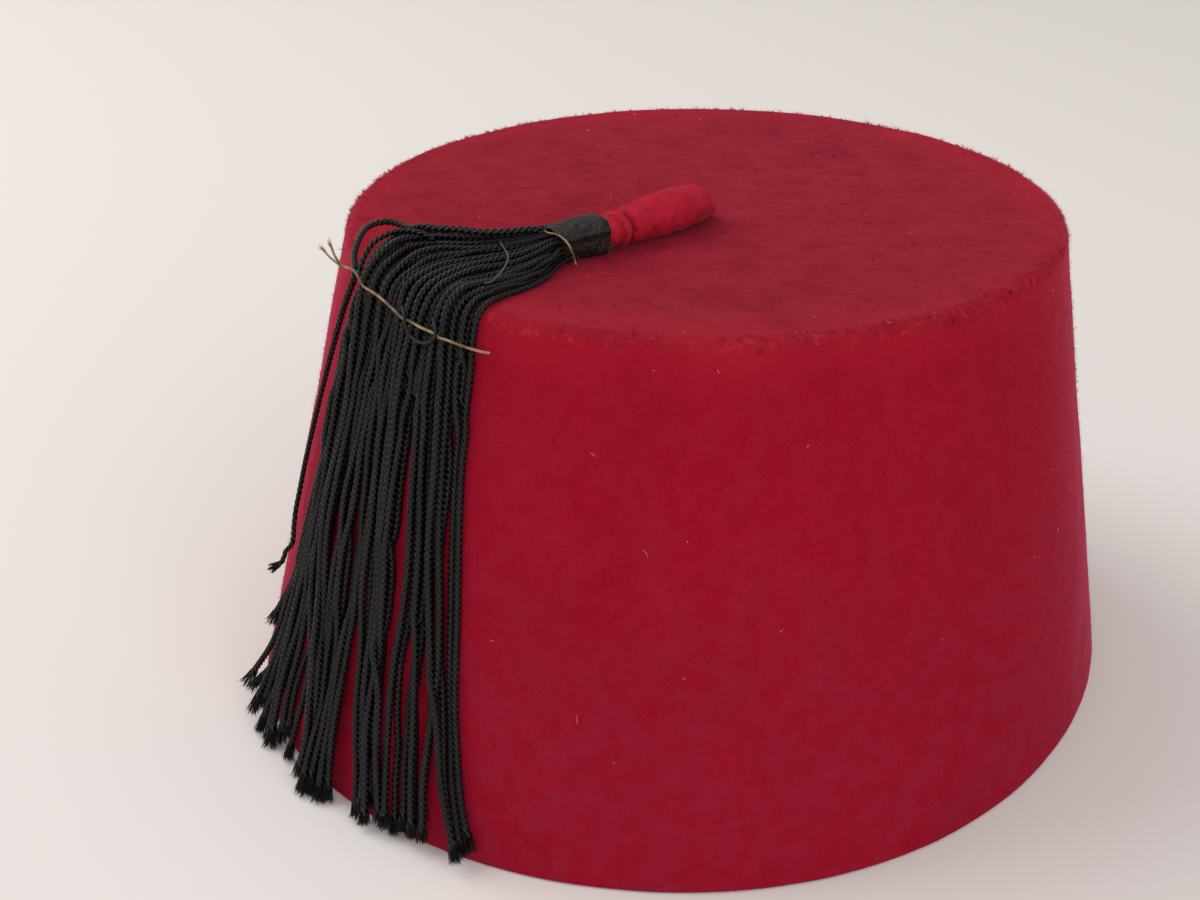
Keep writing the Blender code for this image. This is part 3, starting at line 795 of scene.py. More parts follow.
def add_stem():
    rings, out = stem_surface()
    add_piece("stem_roll", [tube_part(rings)], stem_material(), ["stem"])
    pick = rng.integers(0, rings.size // 3, STEM_FIBRES)
    roots, normals = rings.reshape(-1, 3)[pick], out.reshape(-1, 3)[pick]
    keep = (normals[:, 2] > -0.3) & (roots[:, 1] > STEM_FUZZ_END)
    roots, normals = roots[keep], normals[keep]
    lean = scatter(*roots.shape)
    lengths = uneven(len(roots), *STEM_LENGTHS)
    hair = spikes(roots, normals + lean * 0.6, normals * 0.3 + lean, lengths, STEM_FIBRE_RADIUS)
    material = Graph("stem_fibre", 0.85, specular=0.2).finish(STEM_FIBRE)
    add_piece("stem_fuzz", [hair], material)


def ribbon_ripple(rings, along, turns):
    """The ribbon's wrinkles and its lengthwise fold, in mm off the smooth sleeve."""
    flat = rings.reshape(-1, 3)
    stretched = np.stack([flat[:, 0] * 2.2, flat[:, 1] * 0.7, flat[:, 2] * 2.2], -1)
    ripple = 0.20 * noise_at(stretched, 3.4 * MM, 9) + 0.08 * noise_at(flat, 1.1 * MM, 10)
    fold_turn = math.radians(FOLD_TURN) + math.radians(FOLD_SLANT) * along
    past = np.angle(np.exp(1j * (turns[None, :] - fold_turn)))
    under = 1 / (1 + np.exp(-past / FOLD_LIP)) * np.clip((FOLD_END - past) / FOLD_FADE, 0, 1)
    bead = BEAD_HEIGHT * np.exp(-(((past + BEAD_BEFORE) / BEAD_WIDTH) ** 2))
    return ripple.reshape(rings.shape[:2]) + (bead - FOLD_DEPTH * under)


def collar_surface():
    """The ribbon's outer rings, their outward directions, and the way along it."""
    rows, _ = resample(np.array(COLLAR) * MM, COLLAR_STEP)
    rings, out, turns = crown_rings(rows, COLLAR_SIDES, square=COLLAR_SQUARE)
    along = np.linspace(0, 1, len(rows))[:, None]
    rings = rings + out * (ribbon_ripple(rings, along, turns) * MM)[..., None]
    skew = (noise_at(out[0] * 6 * MM, 2.5 * MM, 11) * RAGGED)[None, :, None] * MM
    run = unit(np.gradient(rings, axis=0))
    near_start = np.clip((END_SHARE - along) / END_SHARE, 0, 1)
    near_mouth = np.clip((along - (1 - END_SHARE)) / END_SHARE, 0, 1)
    rings = rings + run * skew * (near_start + near_mouth)[..., None]
    slant = np.cos(turns)[None, :, None] * MOUTH_SLANT * MM * np.clip(along - 0.3, 0, 1)[..., None]
    return on_felt(rings + run * slant), out, run


def add_collar():
    rings, out, run = collar_surface()
    inner = rings - out * RIBBON
    least = on_crown(rings[..., 0], rings[..., 1], CROWN_GAP)[..., 2] + CROWN_GAP
    inner[..., 2] = np.maximum(inner[..., 2], least)
    skin = np.arange(rings.size // 3).reshape(rings.shape[:2])
    bore = skin + skin.size
    points = np.concatenate([rings.reshape(-1, 3), inner.reshape(-1, 3)])
    ribbon = (points, *sleeve(np.concatenate([skin, bore[::-1], skin[:1]])))
    add_piece("ribbon_collar", [ribbon], ribbon_material(), ["collar"])
    pick = rng.integers(0, COLLAR_SIDES, RIBBON_FIBRES)
    roots = rings[0, pick] - out[0, pick] * RIBBON * rng.random((RIBBON_FIBRES, 1))
    lean = scatter(RIBBON_FIBRES, 3)
    leave = -run[0, pick] + out[0, pick] * 0.35 + lean * 0.25
    lengths = rng.uniform(0.2, 0.8, RIBBON_FIBRES) * MM
    parts = spikes(roots, leave, leave + lean * 0.5, lengths * 0.7, 0.04 * MM)
    material = Graph("ribbon_thread", 0.7, specular=0.3).finish(RIBBON_THREAD)
    add_piece("ribbon_fray", [parts], material)


# ---------------- the tassel's cords
# Columns: cords side by side, azimuth in degrees at 94, 72, 60, 48, 36, 24 and 12 mm and at the
# end, height of the end in mm, layer off the felt, and how far the end stands off, in mm.
LOCKS = (
    (1, 273.6, 274.9, 275.8, 276.9, 277.8, 279.2, 280.4, 282.8, 2.6, 0.0, 1.8),
    (1, 272.7, 274.3, 274.9, 276.0, 276.9, 278.0, 279.2, 281.8, 3.2, 0.0, 1.8),
    (1, 271.8, 273.1, 273.7, 275.2, 276.1, 276.0, 275.8, 276.8, 4.0, 1.0, 1.0),
    (1, 271.2, 272.8, 273.2, 274.2, 275.4, 277.2, 278.2, 280.9, 4.4, 0.0, 1.6),
    (1, 270.9, 272.4, 272.6, 273.6, 274.9, 277.2, 278.8, 282.0, 2.8, 1.6, 1.8),
    (1, 270.3, 273.1, 273.0, 272.6, 274.1, 275.2, 275.4, 276.0, 5.0, 0.0, 0.8),
    (1, 269.9, 269.6, 270.4, 271.3, 272.2, 273.2, 274.0, 275.2, 2.2, 0.0, 1.0),
    (1, 269.4, 269.2, 270.6, 271.6, 272.6, 273.6, 274.4, 275.6, 1.4, 1.0, 1.2),
    (1, 269.0, 268.8, 270.2, 271.8, 272.0, 271.6, 272.7, 273.9, 2.4, 0.0, 1.0),
    (1, 268.3, 267.9, 269.3, 269.8, 269.6, 269.8, 270.6, 271.8, 1.4, 1.0, 1.0),
    (1, 267.7, 268.2, 269.4, 269.8, 269.9, 270.5, 271.4, 272.7, 3.0, 0.0, 1.0),
    (1, 266.8, 265.0, 265.2, 266.0, 267.0, 266.5, 268.0, 269.2, 1.6, 1.2, 1.0),
    (1, 266.5, 264.6, 265.0, 265.8, 266.8, 266.4, 267.8, 269.6, 2.4, 0.0, 1.0),
    (1, 265.5, 264.3, 265.0, 265.6, 266.4, 266.0, 267.4, 269.0, 4.0, 0.0, 0.8),
    (1, 265.0, 263.9, 264.7, 265.3, 266.2, 268.6, 269.6, 270.8, 2.2, 1.4, 0.8),
    (1, 264.5, 263.3, 264.0, 265.0, 265.8, 265.6, 267.0, 268.4, 5.0, 0.0, 0.8),
    (1, 263.9, 262.9, 263.6, 264.9, 265.6, 265.3, 266.9, 268.6, 1.6, 1.0, 1.0),
    (1, 263.5, 262.3, 263.2, 263.6, 264.2, 264.4, 266.2, 268.2, 2.0, 0.0, 0.8),
    (1, 262.6, 261.5, 262.7, 263.2, 263.8, 264.0, 265.7, 267.7, 3.0, 0.0, 1.0),
    (1, 261.9, 260.5, 262.1, 262.4, 263.0, 263.5, 265.3, 267.4, 1.6, 1.0, 1.2),
    (2, 260.7, 259.6, 260.2, 259.9, 260.3, 260.6, 261.0, 262.2, 1.4, 0.6, 2.0),
    (2, 259.3, 258.4, 258.4, 258.3, 258.7, 259.4, 260.0, 261.0, 1.2, 0.0, 3.0),
    (3, 257.9, 257.0, 257.0, 257.0, 257.4, 258.3, 258.8, 259.4, 1.2, 1.0, 2.8),
    (2, 256.2, 255.6, 255.4, 255.9, 256.2, 256.9, 257.1, 257.8, 4.2, 0.0, 1.2),
    (2, 254.9, 254.4, 253.4, 252.8, 255.3, 256.8, 257.8, 258.6, 1.4, 1.6, 1.6),
    (1, 254.0, 253.0, 252.1, 251.6, 252.2, 255.0, 256.3, 257.0, 6.2, 1.4, 1.0),
    (1, 253.8, 252.6, 251.8, 251.8, 252.4, 252.9, 253.1, 252.6, 2.6, 0.4, 1.6),
    (2, 253.6, 251.8, 251.2, 250.6, 250.9, 250.9, 249.8, 250.4, 2.4, 0.0, 2.0),
    (2, 253.1, 250.6, 250.0, 249.4, 249.1, 248.9, 248.7, 248.8, 1.4, 0.6, 2.8),
    (2, 252.7, 249.8, 249.0, 248.4, 247.8, 247.0, 246.5, 246.4, 1.4, 0.0, 3.2),
    (3, 252.4, 249.2, 248.3, 247.6, 246.7, 245.5, 244.6, 244.0, 4.0, 0.6, 3.2),
    (2, 252.2, 248.6, 247.6, 246.9, 246.0, 244.8, 242.6, 239.8, 5.6, 0.0, 5.0),
    (1, 251.9, 248.0, 247.2, 246.4, 244.8, 243.0, 240.4, 240.4, 20.0, 0.6, 1.6),
)
# Short cords under the others, where the fan turns over the edge: azimuth and height of the end.
UNDER_CORDS = (
    (272.9, 80.0), (271.9, 84.0), (270.9, 79.0), (269.9, 83.0), (268.9, 78.0), (267.9, 82.0),
    (266.9, 79.0), (265.9, 80.0), (264.9, 82.0), (263.9, 80.0), (262.6, 78.0), (261.0, 82.0),
    (259.4, 80.0), (257.6, 82.0), (256.2, 80.0), (254.8, 82.0),
)
WALL_HEIGHTS = (94 * MM, 72 * MM, 60 * MM, 48 * MM, 36 * MM, 24 * MM, 12 * MM)
FLARE_SHARES = (0.0, 0.0, 0.0, 0.0, 0.05, 0.15, 0.45)
# Five lines over the crown, from the fan's left border to its right one: x, y and height above
# the felt of the cords on top, in mm.
CROWN_WAYS = (
    (
        (-5.9, -44.2, 4.9), (-9.2, -49.0, 4.7), (-13.4, -54.0, 4.3),
        (-20.8, -57.4, 4.3), (-26.5, -60.4, 4.2), (-28.2, -64.4, 3.9),
    ),
    (
        (-3.7, -45.2, 5.1), (-5.0, -50.2, 4.9), (-8.2, -56.6, 4.4),
        (-12.4, -62.4, 4.0), (-14.5, -66.8, 3.6), (-14.6, -70.2, 3.2),
    ),
    (
        (-2.1, -45.8, 4.5), (-1.6, -51.0, 4.6), (-2.3, -57.5, 4.2),
        (-4.9, -64.0, 3.9), (-6.2, -68.6, 3.5), (-6.6, -71.4, 3.2),
    ),
    (
        (-1.4, -46.0, 3.6), (0.6, -50.5, 3.6), (1.6, -57.0, 3.2),
        (0.6, -63.5, 3.0), (-0.5, -68.2, 2.8), (-0.9, -71.6, 2.6),
    ),
    (
        (-1.2, -46.0, 2.4), (0.9, -49.6, 1.6), (3.3, -55.4, 0.9),
        (4.2, -62.2, 0.8), (3.6, -67.6, 0.8), (4.4, -71.8, 0.8),
    ),
)
WAY_SHARES = (0.0, 0.3, 0.6, 0.8, 1.0)
CROWN_BASE = 0.8 * MM  # height of the lowest cords above the felt
MOUTH_BASE = 0.5 * MM  # and how much higher they leave the collar
TOP_LAYER = 1.2
CORD_RADIUS = 0.76 * MM
CORD_PITCH = 3.5 * MM  # one full turn of the three plies
BOUND_RADIUS = 0.50 * MM  # a cord's where it is bound in the collar, on top
HIDDEN_RADIUS = 0.30 * MM  # and underneath
BOUND_GROWTH = (0.05, 0.36)  # where a cord on top widens, as shares of its stations
HIDDEN_GROWTH = (0.15, 0.42)
LAYER_STEP = 1.4 * MM
INTO_COLLAR = math.radians(73.0)
COLLAR_REACH = (4.2, 1.0)  # mm from the mouth, of the first and last stations inside it
EDGE_TILTS = (82, 26)  # degrees, of the stations round the crown's edge
CROWN_STATIONS = 32
EDGE_STATIONS = 6
INSIDE_STATIONS = 4
WALL_TOP = 98 * MM
WALL_START, WALL_END = 95.5 * MM, 0.9 * MM  # heights between which the wall's stations are
WALL_STEP = 1.5 * MM
BENDS = 11  # of a cord's sway to the side and of its rise off the others
SWAY, LOCK_SWAY = 0.28 * MM, 0.50 * MM  # of a single cord, and of one in a lock
RISE = 0.40 * MM
FREE = (0.12, 0.2)  # where a cord begins to sway, and over how much, as shares of its stations
STACK, HEAP_STACK = 0.5 * MM, 0.45  # how far every second cord of a lock lies above the first
END_SPREAD, LOWEST_END = 0.9, 0.9  # mm, how unevenly the cords end, and how low at most
END_LENGTH = 1.6 * MM  # how far above its end a cord is cut, where its brush starts
CLEAR_OF_END = 6.0  # mm, how close above a lock's end the table's azimuths still count
RELAX_STEPS = 140
LATE = 0.8  # the share of the steps after which the targets pull no more
SPACING = 0.92  # the least distance between two cords, as a share of their radii
PUSH = 0.34  # how much of an overlap one step clears
PULL = 0.12  # and how much of the way to its target a cord goes back
EASE, LATE_EASE = 0.22, 0.12  # and how much of its bends it loses
CORD_SEAT = 1.03  # the least distance of a cord's middle off the felt, as a share of its radius
PAST_END = 0.05 * MM  # a cord's radius below its own end, where it takes no room
CORD_STEP = 0.43 * MM  # between a cord's rings
TWIST = -1.0  # the plies slant down to the right


def level(angle):
    return np.array([math.cos(angle), math.sin(angle)])


def crown_way(share):
    """Stations over the crown, at a share of the fan's width from its left border."""
    ways = [resample(np.array(way) * MM, 0, CROWN_STATIONS)[0] for way in CROWN_WAYS]
    at = np.interp(share, WAY_SHARES, range(len(ways)))
    left = min(int(at), len(ways) - 2)
    return ways[left] + (ways[left + 1] - ways[left]) * (at - left)


def hanging_line(lock, off):
    """Stations down the wall, from the azimuths at the heights that the table gives."""
    at_94, at_end, end_height, _, flare = lock[1], *lock[8:]
    known = np.array([WALL_TOP, *WALL_HEIGHTS, end_height * MM])
    places = np.array([at_94, *lock[1:8], at_end])
    stands = np.array([0, *FLARE_SHARES, 1]) * flare * MM
    keep = np.append(known[:-1] > (end_height + CLEAR_OF_END) * MM, True)
    order = np.argsort(known[keep])
    heights = np.arange(WALL_START, WALL_END, -WALL_STEP)
    azimuths, stand = (
        smoothed(np.interp(heights, known[keep][order], values[keep][order]), 7)
        for values in (places, stands)
    )
    return on_wall(np.radians(azimuths), heights, off + stand)


def lock_line(lock):
    """Stations along a lock: points, directions across it, normals and the heap's height there."""
    at_94, layer = lock[1], lock[10]
    first, last = LOCKS[0][1], LOCKS[-1][1]
    way = crown_way((at_94 - last) / (first - last))
    off = CORD_RADIUS * 1.1 + layer * LAYER_STEP
    base = CROWN_BASE + MOUTH_BASE * (1 - np.linspace(0, 1, CROWN_STATIONS)) ** 3
    heap = way[:, 2] - base
    rise = base + heap * min(layer, TOP_LAYER) / TOP_LAYER
    crown = on_crown(way[:, 0], way[:, 1], rise)
    inside = way[0, :2] + level(INTO_COLLAR) * np.linspace(*COLLAR_REACH, INSIDE_STATIONS)[:, None] * MM
    inside = on_crown(inside[:, 0], inside[:, 1], rise[0])
    tilts = np.radians(np.linspace(*EDGE_TILTS, EDGE_STATIONS))
    turn = on_edge(np.full(EDGE_STATIONS, math.radians(at_94)), tilts, off)
    line = np.concatenate([inside, crown, turn, hanging_line(lock, off)])
    run = unit(np.gradient(line, axis=0))
    _, normals = felt_offset(line)
    heaped = np.zeros(len(line))
    heaped[:INSIDE_STATIONS] = heap[0]
    heaped[INSIDE_STATIONS : INSIDE_STATIONS + CROWN_STATIONS] = heap
    return line, unit(np.cross(run, normals)), normals, smoothed(heaped, 9)


def smoothed(values, width):
    padded = np.pad(values, width // 2, mode="edge")
    return np.convolve(padded, np.ones(width) / width, mode="valid")


def cord_targets():
    """Every cord's stations and radii there, and its end's height and flare."""
    paths, radii, ends, flares = [], [], [], []
    under = [(1, *[azimuth] * 8, height, 0.0, 0.0) for azimuth, height in UNDER_CORDS]
    for row, lock in enumerate([*LOCKS, *under]):
        line, across, normals, heaped = lock_line(lock)
        count, end_height, layer, flare = lock[0], *lock[9:]
        share = np.linspace(0, 1, len(line))
        spread = np.minimum(1.0, 0.35 + 2.6 * share)
        sway = wander(count, len(line), BENDS, SWAY if count == 1 else LOCK_SWAY)
        rise = wander(count, len(line), BENDS, RISE)
        free = np.clip((share - FREE[0]) / FREE[1], 0, 1)
        on_top = layer >= 1.0 or row == 0
        bound = BOUND_RADIUS if on_top else HIDDEN_RADIUS
        starts, stops = BOUND_GROWTH if on_top else HIDDEN_GROWTH
        grow = np.clip((share - starts) / (stops - starts), 0, 1)
        for i in range(count):
            beside = (i - (count - 1) / 2) * 2 * CORD_RADIUS * spread + sway[i] * free
            stack = (i % 2) * (STACK + (0.0 if on_top else HEAP_STACK) * heaped) + rise[i] * free
            paths.append(line + across * beside[:, None] + normals * stack[:, None])
            full = CORD_RADIUS * rng.uniform(0.93, 1.04)
            past_end = (line[:, 2] < (end_height - 3) * MM) & (share > 0.5)
            widths = bound + (full - bound) * smooth(grow)
            radii.append(np.where(past_end, PAST_END, widths))
            ends.append(max(end_height + rng.normal(0, END_SPREAD), LOWEST_END) * MM)
            flares.append(flare * MM)
    return np.stack(paths, 1), np.stack(radii, 1), np.array(ends), np.array(flares)


def relaxed(targets, radii):
    """The cords moved apart where they lie in each other, off the felt, near their targets."""
    place = targets.copy()
    least = (radii[:, :, None] + radii[:, None, :]) * SPACING
    least[:, np.arange(radii.shape[1]), np.arange(radii.shape[1])] = 0
    for step in range(RELAX_STEPS):
        late = step > RELAX_STEPS * LATE
        apart = place[:, :, None] - place[:, None, :]
        run = unit(np.gradient(place, axis=0))[:, :, None]
        apart = square_to(run, apart)
        gap = np.linalg.norm(apart, axis=-1)
        push = np.clip(least - gap, 0, None) / np.maximum(gap, 1e-6)
        place = place + PUSH * (apart * push[..., None]).sum(2)
        ahead, behind = place[2:], place[:-2]
        ease = LATE_EASE if late else EASE
        place[1:-1] += ease * ((ahead + behind) / 2 - place[1:-1])
        if not late:
            place += PULL * (targets - place)
        offset, normals = felt_offset(place)
        sunk = np.clip(radii * CORD_SEAT - offset, 0, None)
        place += normals * sunk[..., None]
    return place


PLIES = 3
PLY_SIZE = 0.62  # a ply's radius, as a share of the cord's
PLY_TURNS = np.radians([-45, 0, 45])


def ply_outline(size=PLY_SIZE):
    """The outline of plies that lie side by side in a round of radius 1."""
    place = 1 - size
    lobe = np.stack([place + size * np.cos(PLY_TURNS), size * np.sin(PLY_TURNS)], -1)
    half = math.pi / PLIES
    waist = place * math.cos(half) + math.sqrt(size**2 - (place * math.sin(half)) ** 2)
    one = np.concatenate([lobe, [[waist * math.cos(half), waist * math.sin(half)]]])
    turned = []
    for i in range(PLIES):
        c, s = math.cos(2 * half * i), math.sin(2 * half * i)
        turned.append(one @ np.array([[c, s], [-s, c]]))
    return np.concatenate(turned)


def twisted(path, radius, pitch, phase, outline, twist=None):
    """Rings of a cord or thread along the path. Radius and twist may change along it."""
    run = unit(np.gradient(path, axis=0))
    out = unit(square_to(run, felt_offset(path)[1]))
    side = np.cross(run, out)
    length = lengths_along(path)
    if twist is not None:
        length = np.concatenate([[0], np.cumsum(np.diff(length) * twist[1:])])
    turn = TWIST * TURN * length / pitch + phase
    first = out * np.cos(turn)[:, None] + side * np.sin(turn)[:, None]
    second = side * np.cos(turn)[:, None] - out * np.sin(turn)[:, None]
    x = outline[:, 0][None, :, None] * first[:, None]
    y = outline[:, 1][None, :, None] * second[:, None]
    return path[:, None] + (x + y) * np.broadcast_to(radius, len(path))[:, None, None]


def tube_uvs(sections, sides, length):
    """Length along the tube, in mm, and the way round it, for each corner of tube_part."""
    along = np.linspace(0, length / MM, sections)
    i, j = np.meshgrid(np.arange(sections - 1), np.arange(sides), indexing="ij")
    u = np.stack([along[i], along[i], along[i + 1], along[i + 1]], -1)
    v = np.stack([j, j + 1, j + 1, j], -1) / sides
    body = np.stack([u, v], -1).reshape(-1, 2)
    return np.concatenate([body, np.zeros((2 * sides, 2))])


FRAY_LENGTH = 2.4 * MM
FRAY_SHARE = 0.55  # of a lock's flare, that its frayed ends are longer
FRAY_FIBRES = 60
FRAY_SUNK = 0.8 * MM
FRAY_RADIUS = 0.11 * MM
LOOSE_END = 2.6 * MM  # how far up from its cut end a cord's plies open
LOOSE_SWELL, LOOSE_UNTWIST = 0.22, 0.6  # how much wider it gets there, and less twisted
CORD_FLOOR_GAP, FRAY_FLOOR_GAP, FRAY_FELT_GAP = 0.06 * MM, 0.08 * MM, 0.05 * MM


def cut_at(path, radii, height):
    """The part of a path above a height."""
    below = np.nonzero(path[:, 2] < height)[0]
    wall = below[below > CROWN_STATIONS]
    last = wall[0] if len(wall) else len(path)
    return path[:last], radii[:last]


def fray(end, run, out, radius, length):
    """The blunt brush of filaments at a cord's cut end."""
    count = FRAY_FIBRES
    side = np.cross(run, out)
    turn = rng.uniform(0, TURN, count)
    far = np.sqrt(rng.random(count))
    radial = out * np.cos(turn)[:, None] + side * np.sin(turn)[:, None]
    roots = end + radial * (far * radius * 0.95)[:, None] - run * FRAY_SUNK
    wild = scatter(count, 3)
    leave = run + radial * (far * 0.10)[:, None] + wild * 0.045
    arrive = run + radial * (far * 0.4)[:, None] + wild * 0.42
    lengths = FRAY_SUNK + length * rng.uniform(0.70, 1.0, count)
    radii = FRAY_RADIUS * rng.uniform(0.6, 1.1, count)
    points, faces, sizes = spikes(roots, leave, arrive, lengths, radii, knee=0.78, waist=0.85)
    offset, normals = felt_offset(points)
    points = points + normals * np.clip(FRAY_FELT_GAP - offset, 0, None)[:, None]
    points[:, 2] = np.maximum(points[:, 2], FRAY_FLOOR_GAP)
    return points, faces, sizes


def cord_parts(path, radii, phase, flare=0.0, pitch=CORD_PITCH, ply=PLY_SIZE):
    """A twisted cord with a frayed end, as tube and fray arrays."""
    fine, at = resample(path, CORD_STEP)
    run_at = np.linspace(0, 1, len(path))
    radius = np.interp(np.linspace(0, 1, len(fine)), run_at, radii)
    loosen = np.clip(1 - (at[-1] - at) / LOOSE_END, 0, 1)
    radius = radius * (1 + LOOSE_SWELL * loosen**1.5)
    rings = twisted(fine, radius, pitch, phase, ply_outline(ply), 1 - LOOSE_UNTWIST * loosen)
    rings[..., 2] = np.maximum(rings[..., 2], CORD_FLOOR_GAP)
    uvs = tube_uvs(len(fine), rings.shape[1], at[-1])
    out = felt_offset(fine[-1:])[1][0]
    run = unit(fine[-1] - fine[-3])
    out = unit(out - run * (out @ run))
    length = (FRAY_LENGTH + FRAY_SHARE * flare) * rng.uniform(0.85, 1.15)
    return tube_part(rings), uvs, fray(fine[-1], run, out, radius[-1], length)


# The loose cord over the crown: x and y in mm, and height above the felt.
LOOSE_ON_CROWN = (
    (-3.4, -41.4, 3.4), (-4.9, -44.6, 4.4), (-7.0, -49.9, 5.2), (-11.7, -55.9, 4.9),
    (-17.6, -58.4, 4.6), (-20.4, -59.8, 4.3), (-25.2, -59.2, 3.8), (-29.4, -57.7, 3.4),
    (-34.5, -56.7, 3.0), (-36.4, -57.5, 2.8), (-36.4, -60.8, 2.7),
)
# Round the edge: azimuth and tilt in degrees, and distance off the felt in mm.
LOOSE_ON_EDGE = (
    (242.3, 74, 3.0), (245.3, 50, 3.0), (246.5, 34, 3.0), (248.3, 26, 3.1), (249.8, 18, 3.2),
)
# And down the wall: azimuth in degrees, height and distance off the felt in mm.
LOOSE_ON_WALL = (
    (249.2, 94.9, 3.4), (247.2, 90.7, 2.9), (244.1, 81.1, 2.2), (241.2, 68.8, 1.8),
    (238.7, 54.4, 1.6), (238.3, 47.5, 1.6), (238.6, 43.3, 1.8), (239.8, 40.2, 2.0),
    (241.3, 38.5, 2.3), (241.2, 37.1, 2.6), (240.7, 36.0, 3.0), (240.8, 35.0, 3.3),
    (241.2, 34.2, 3.6), (241.0, 33.2, 4.0), (240.6, 32.4, 4.5),
)
# The thinner cord that lies inside its bend.
INNER_ON_CROWN = (
    (-18.0, -61.6, 2.6), (-21.5, -63.0, 3.6), (-24.4, -63.0, 4.0), (-26.4, -63.6, 4.0),
    (-27.4, -65.3, 4.0), (-27.4, -68.3, 3.6),
)
INNER_ON_EDGE = (
    (248.3, 62, 3.0), (249.8, 34, 3.0), (250.5, 22, 3.0), (251.0, 12, 2.4),
)
LOOSE_RADIUS = 0.70 * MM
LOOSE_RADIUS_LOW = 0.56 * MM
INNER_RADIUS = 0.55 * MM
LOOSE_PITCH = 4.0 * MM
LOOSE_STEP = 1.0 * MM
LOOSE_HEIGHTS = (70 * MM, 95 * MM)  # between which the loose cord widens
LOOSE_LIFTED = 60 * MM  # the height above which it is kept out of the others
LOOSE_PLY = 0.54
LIFTS, LIFT_SHARE = 12, 0.8  # how many times a path is lifted, and how much of the overlap


def crown_points(rows):
    return [on_crown(x * MM, y * MM, h * MM) for x, y, h in rows]


def edge_points(rows):
    return [on_edge(math.radians(a), math.radians(tilt), off * MM) for a, tilt, off in rows]


def wall_points(rows):
    return [on_wall(math.radians(a), z * MM, off * MM) for a, z, off in rows]


def lifted(path, cords, radii, radius, held=0):
    """A path moved out of the cords that it crosses, all but its first points."""
    centres, sizes = cords.reshape(-1, 3), radii.reshape(-1)
    path = np.array(path)
    free = np.clip((np.arange(len(path)) - held + 1) / 3, 0, 1)
    for _ in range(LIFTS):
        apart = path[:, None] - centres[None]
        gap = np.linalg.norm(apart, axis=-1)
        sunk = np.clip(sizes[None] + radius - gap, 0, None)
        nearest = sunk.argmax(1)
        depth = sunk[np.arange(len(path)), nearest]
        path += felt_offset(path)[1] * (depth * LIFT_SHARE * free)[:, None]
    return eased(path)


def eased(path, steps=6):
    """A path with its small kinks smoothed away."""
    for _ in range(steps):
        path[1:-1] = (path[2:] + path[:-2] + 2 * path[1:-1]) / 4
    return path


def dense_cords(place, radii):
    """The cords' middles, with extra stations between."""
    middle = (place[1:] + place[:-1]) / 2
    between = (radii[1:] + radii[:-1]) / 2
    return np.concatenate([place, middle]), np.concatenate([radii, between])


CORD_PIECES = 3


def add_cords(place, radii, ends, flares, material):
    """The hanging cords, in a few pieces. What comes back are their frayed ends."""
    parts = []
    for i in range(place.shape[1]):
        path, radius = cut_at(place[:, i], radii[:, i], ends[i] + END_LENGTH)
        parts.append(cord_parts(path, radius, rng.uniform(0, 6.28), flares[i]))
    tubes, uvs, frays = zip(*parts)
    share = math.ceil(len(tubes) / CORD_PIECES)
    for n in range(CORD_PIECES):
        part = slice(n * share, (n + 1) * share)
        add_piece(f"cords_{n + 1}", tubes[part], material, ["tassel"], uvs[part])
    return frays


def add_loose_cords(cords, sizes, material):
    """The loose cord and the thin one inside its bend. The loose one's frayed end comes back."""
    way = crown_points(LOOSE_ON_CROWN) + edge_points(LOOSE_ON_EDGE) + wall_points(LOOSE_ON_WALL)
    loose, _ = resample(way, LOOSE_STEP)
    radius = np.interp(loose[:, 2], LOOSE_HEIGHTS, (LOOSE_RADIUS_LOW, LOOSE_RADIUS))
    on_top = loose[:, 2] > LOOSE_LIFTED
    loose[on_top] = lifted(loose[on_top], cords, sizes, LOOSE_RADIUS, held=5)
    inner, _ = resample(crown_points(INNER_ON_CROWN) + edge_points(INNER_ON_EDGE), LOOSE_STEP)
    inner = lifted(inner, cords, sizes, INNER_RADIUS)
    kind = {"pitch": LOOSE_PITCH, "ply": LOOSE_PLY}
    one = cord_parts(loose, radius, 0.4, **kind)
    two = cord_parts(inner, np.full(len(inner), INNER_RADIUS), 1.0, **kind)
    add_piece("loose_cords", [one[0], two[0]], material, uvs=[one[1], two[1]])
    return one[2]


def add_tassel():
    """The tassel. What comes back are its cords' middles and radii there."""
    targets, radii, ends, flares = cord_targets()
    place = relaxed(targets, radii)
    material = cord_material()
    frays = add_cords(place, radii, ends, flares, material)
    cords, sizes = dense_cords(place, radii)
    loose_end = add_loose_cords(cords, sizes, material)
    add_piece("cord_ends", [*frays, loose_end], material)
    return cords, sizes


# ---------------- threads
TAN = (rgb(0.120, 0.076, 0.036), rgb(0.33, 0.235, 0.120))
DARK_GREY = (rgb(0.0020, 0.0016, 0.0016), rgb(0.0090, 0.0085, 0.0080))
MID_GREY = (rgb(0.016, 0.015, 0.015), rgb(0.036, 0.034, 0.033))
PALE_GREY = (rgb(0.030, 0.029, 0.028), rgb(0.065, 0.062, 0.060))
TACKING_RADIUS = 0.27 * MM
TACKING_PITCH = 1.7 * MM
LOOP_RADIUS = 0.34 * MM
LOOP_PITCH = 2.0 * MM
FINE_RADIUS = 0.20 * MM
FINE_PITCH = 1.2 * MM
PALE_PITCH = 4 * MM
STRAND_RADIUS = 0.38 * MM
STRAND_PITCH = 9 * MM
SECOND_END = 0.8  # how thick the tacking thread's second end is, as a share of the thread
TURN_RINGS = 7  # a thread's rings in one turn
THREAD_SEAT = 0.9  # how much of its radius keeps off the cords
ROUND = np.array([level(turn) for turn in np.linspace(0, TURN, 8, endpoint=False)])
PLY_OUTLINE = ply_outline()
THREAD_END_FIBRES = 26
THREAD_END_LENGTHS, THREAD_END_RADIUS = (1.4, 2.6), 0.07 * MM

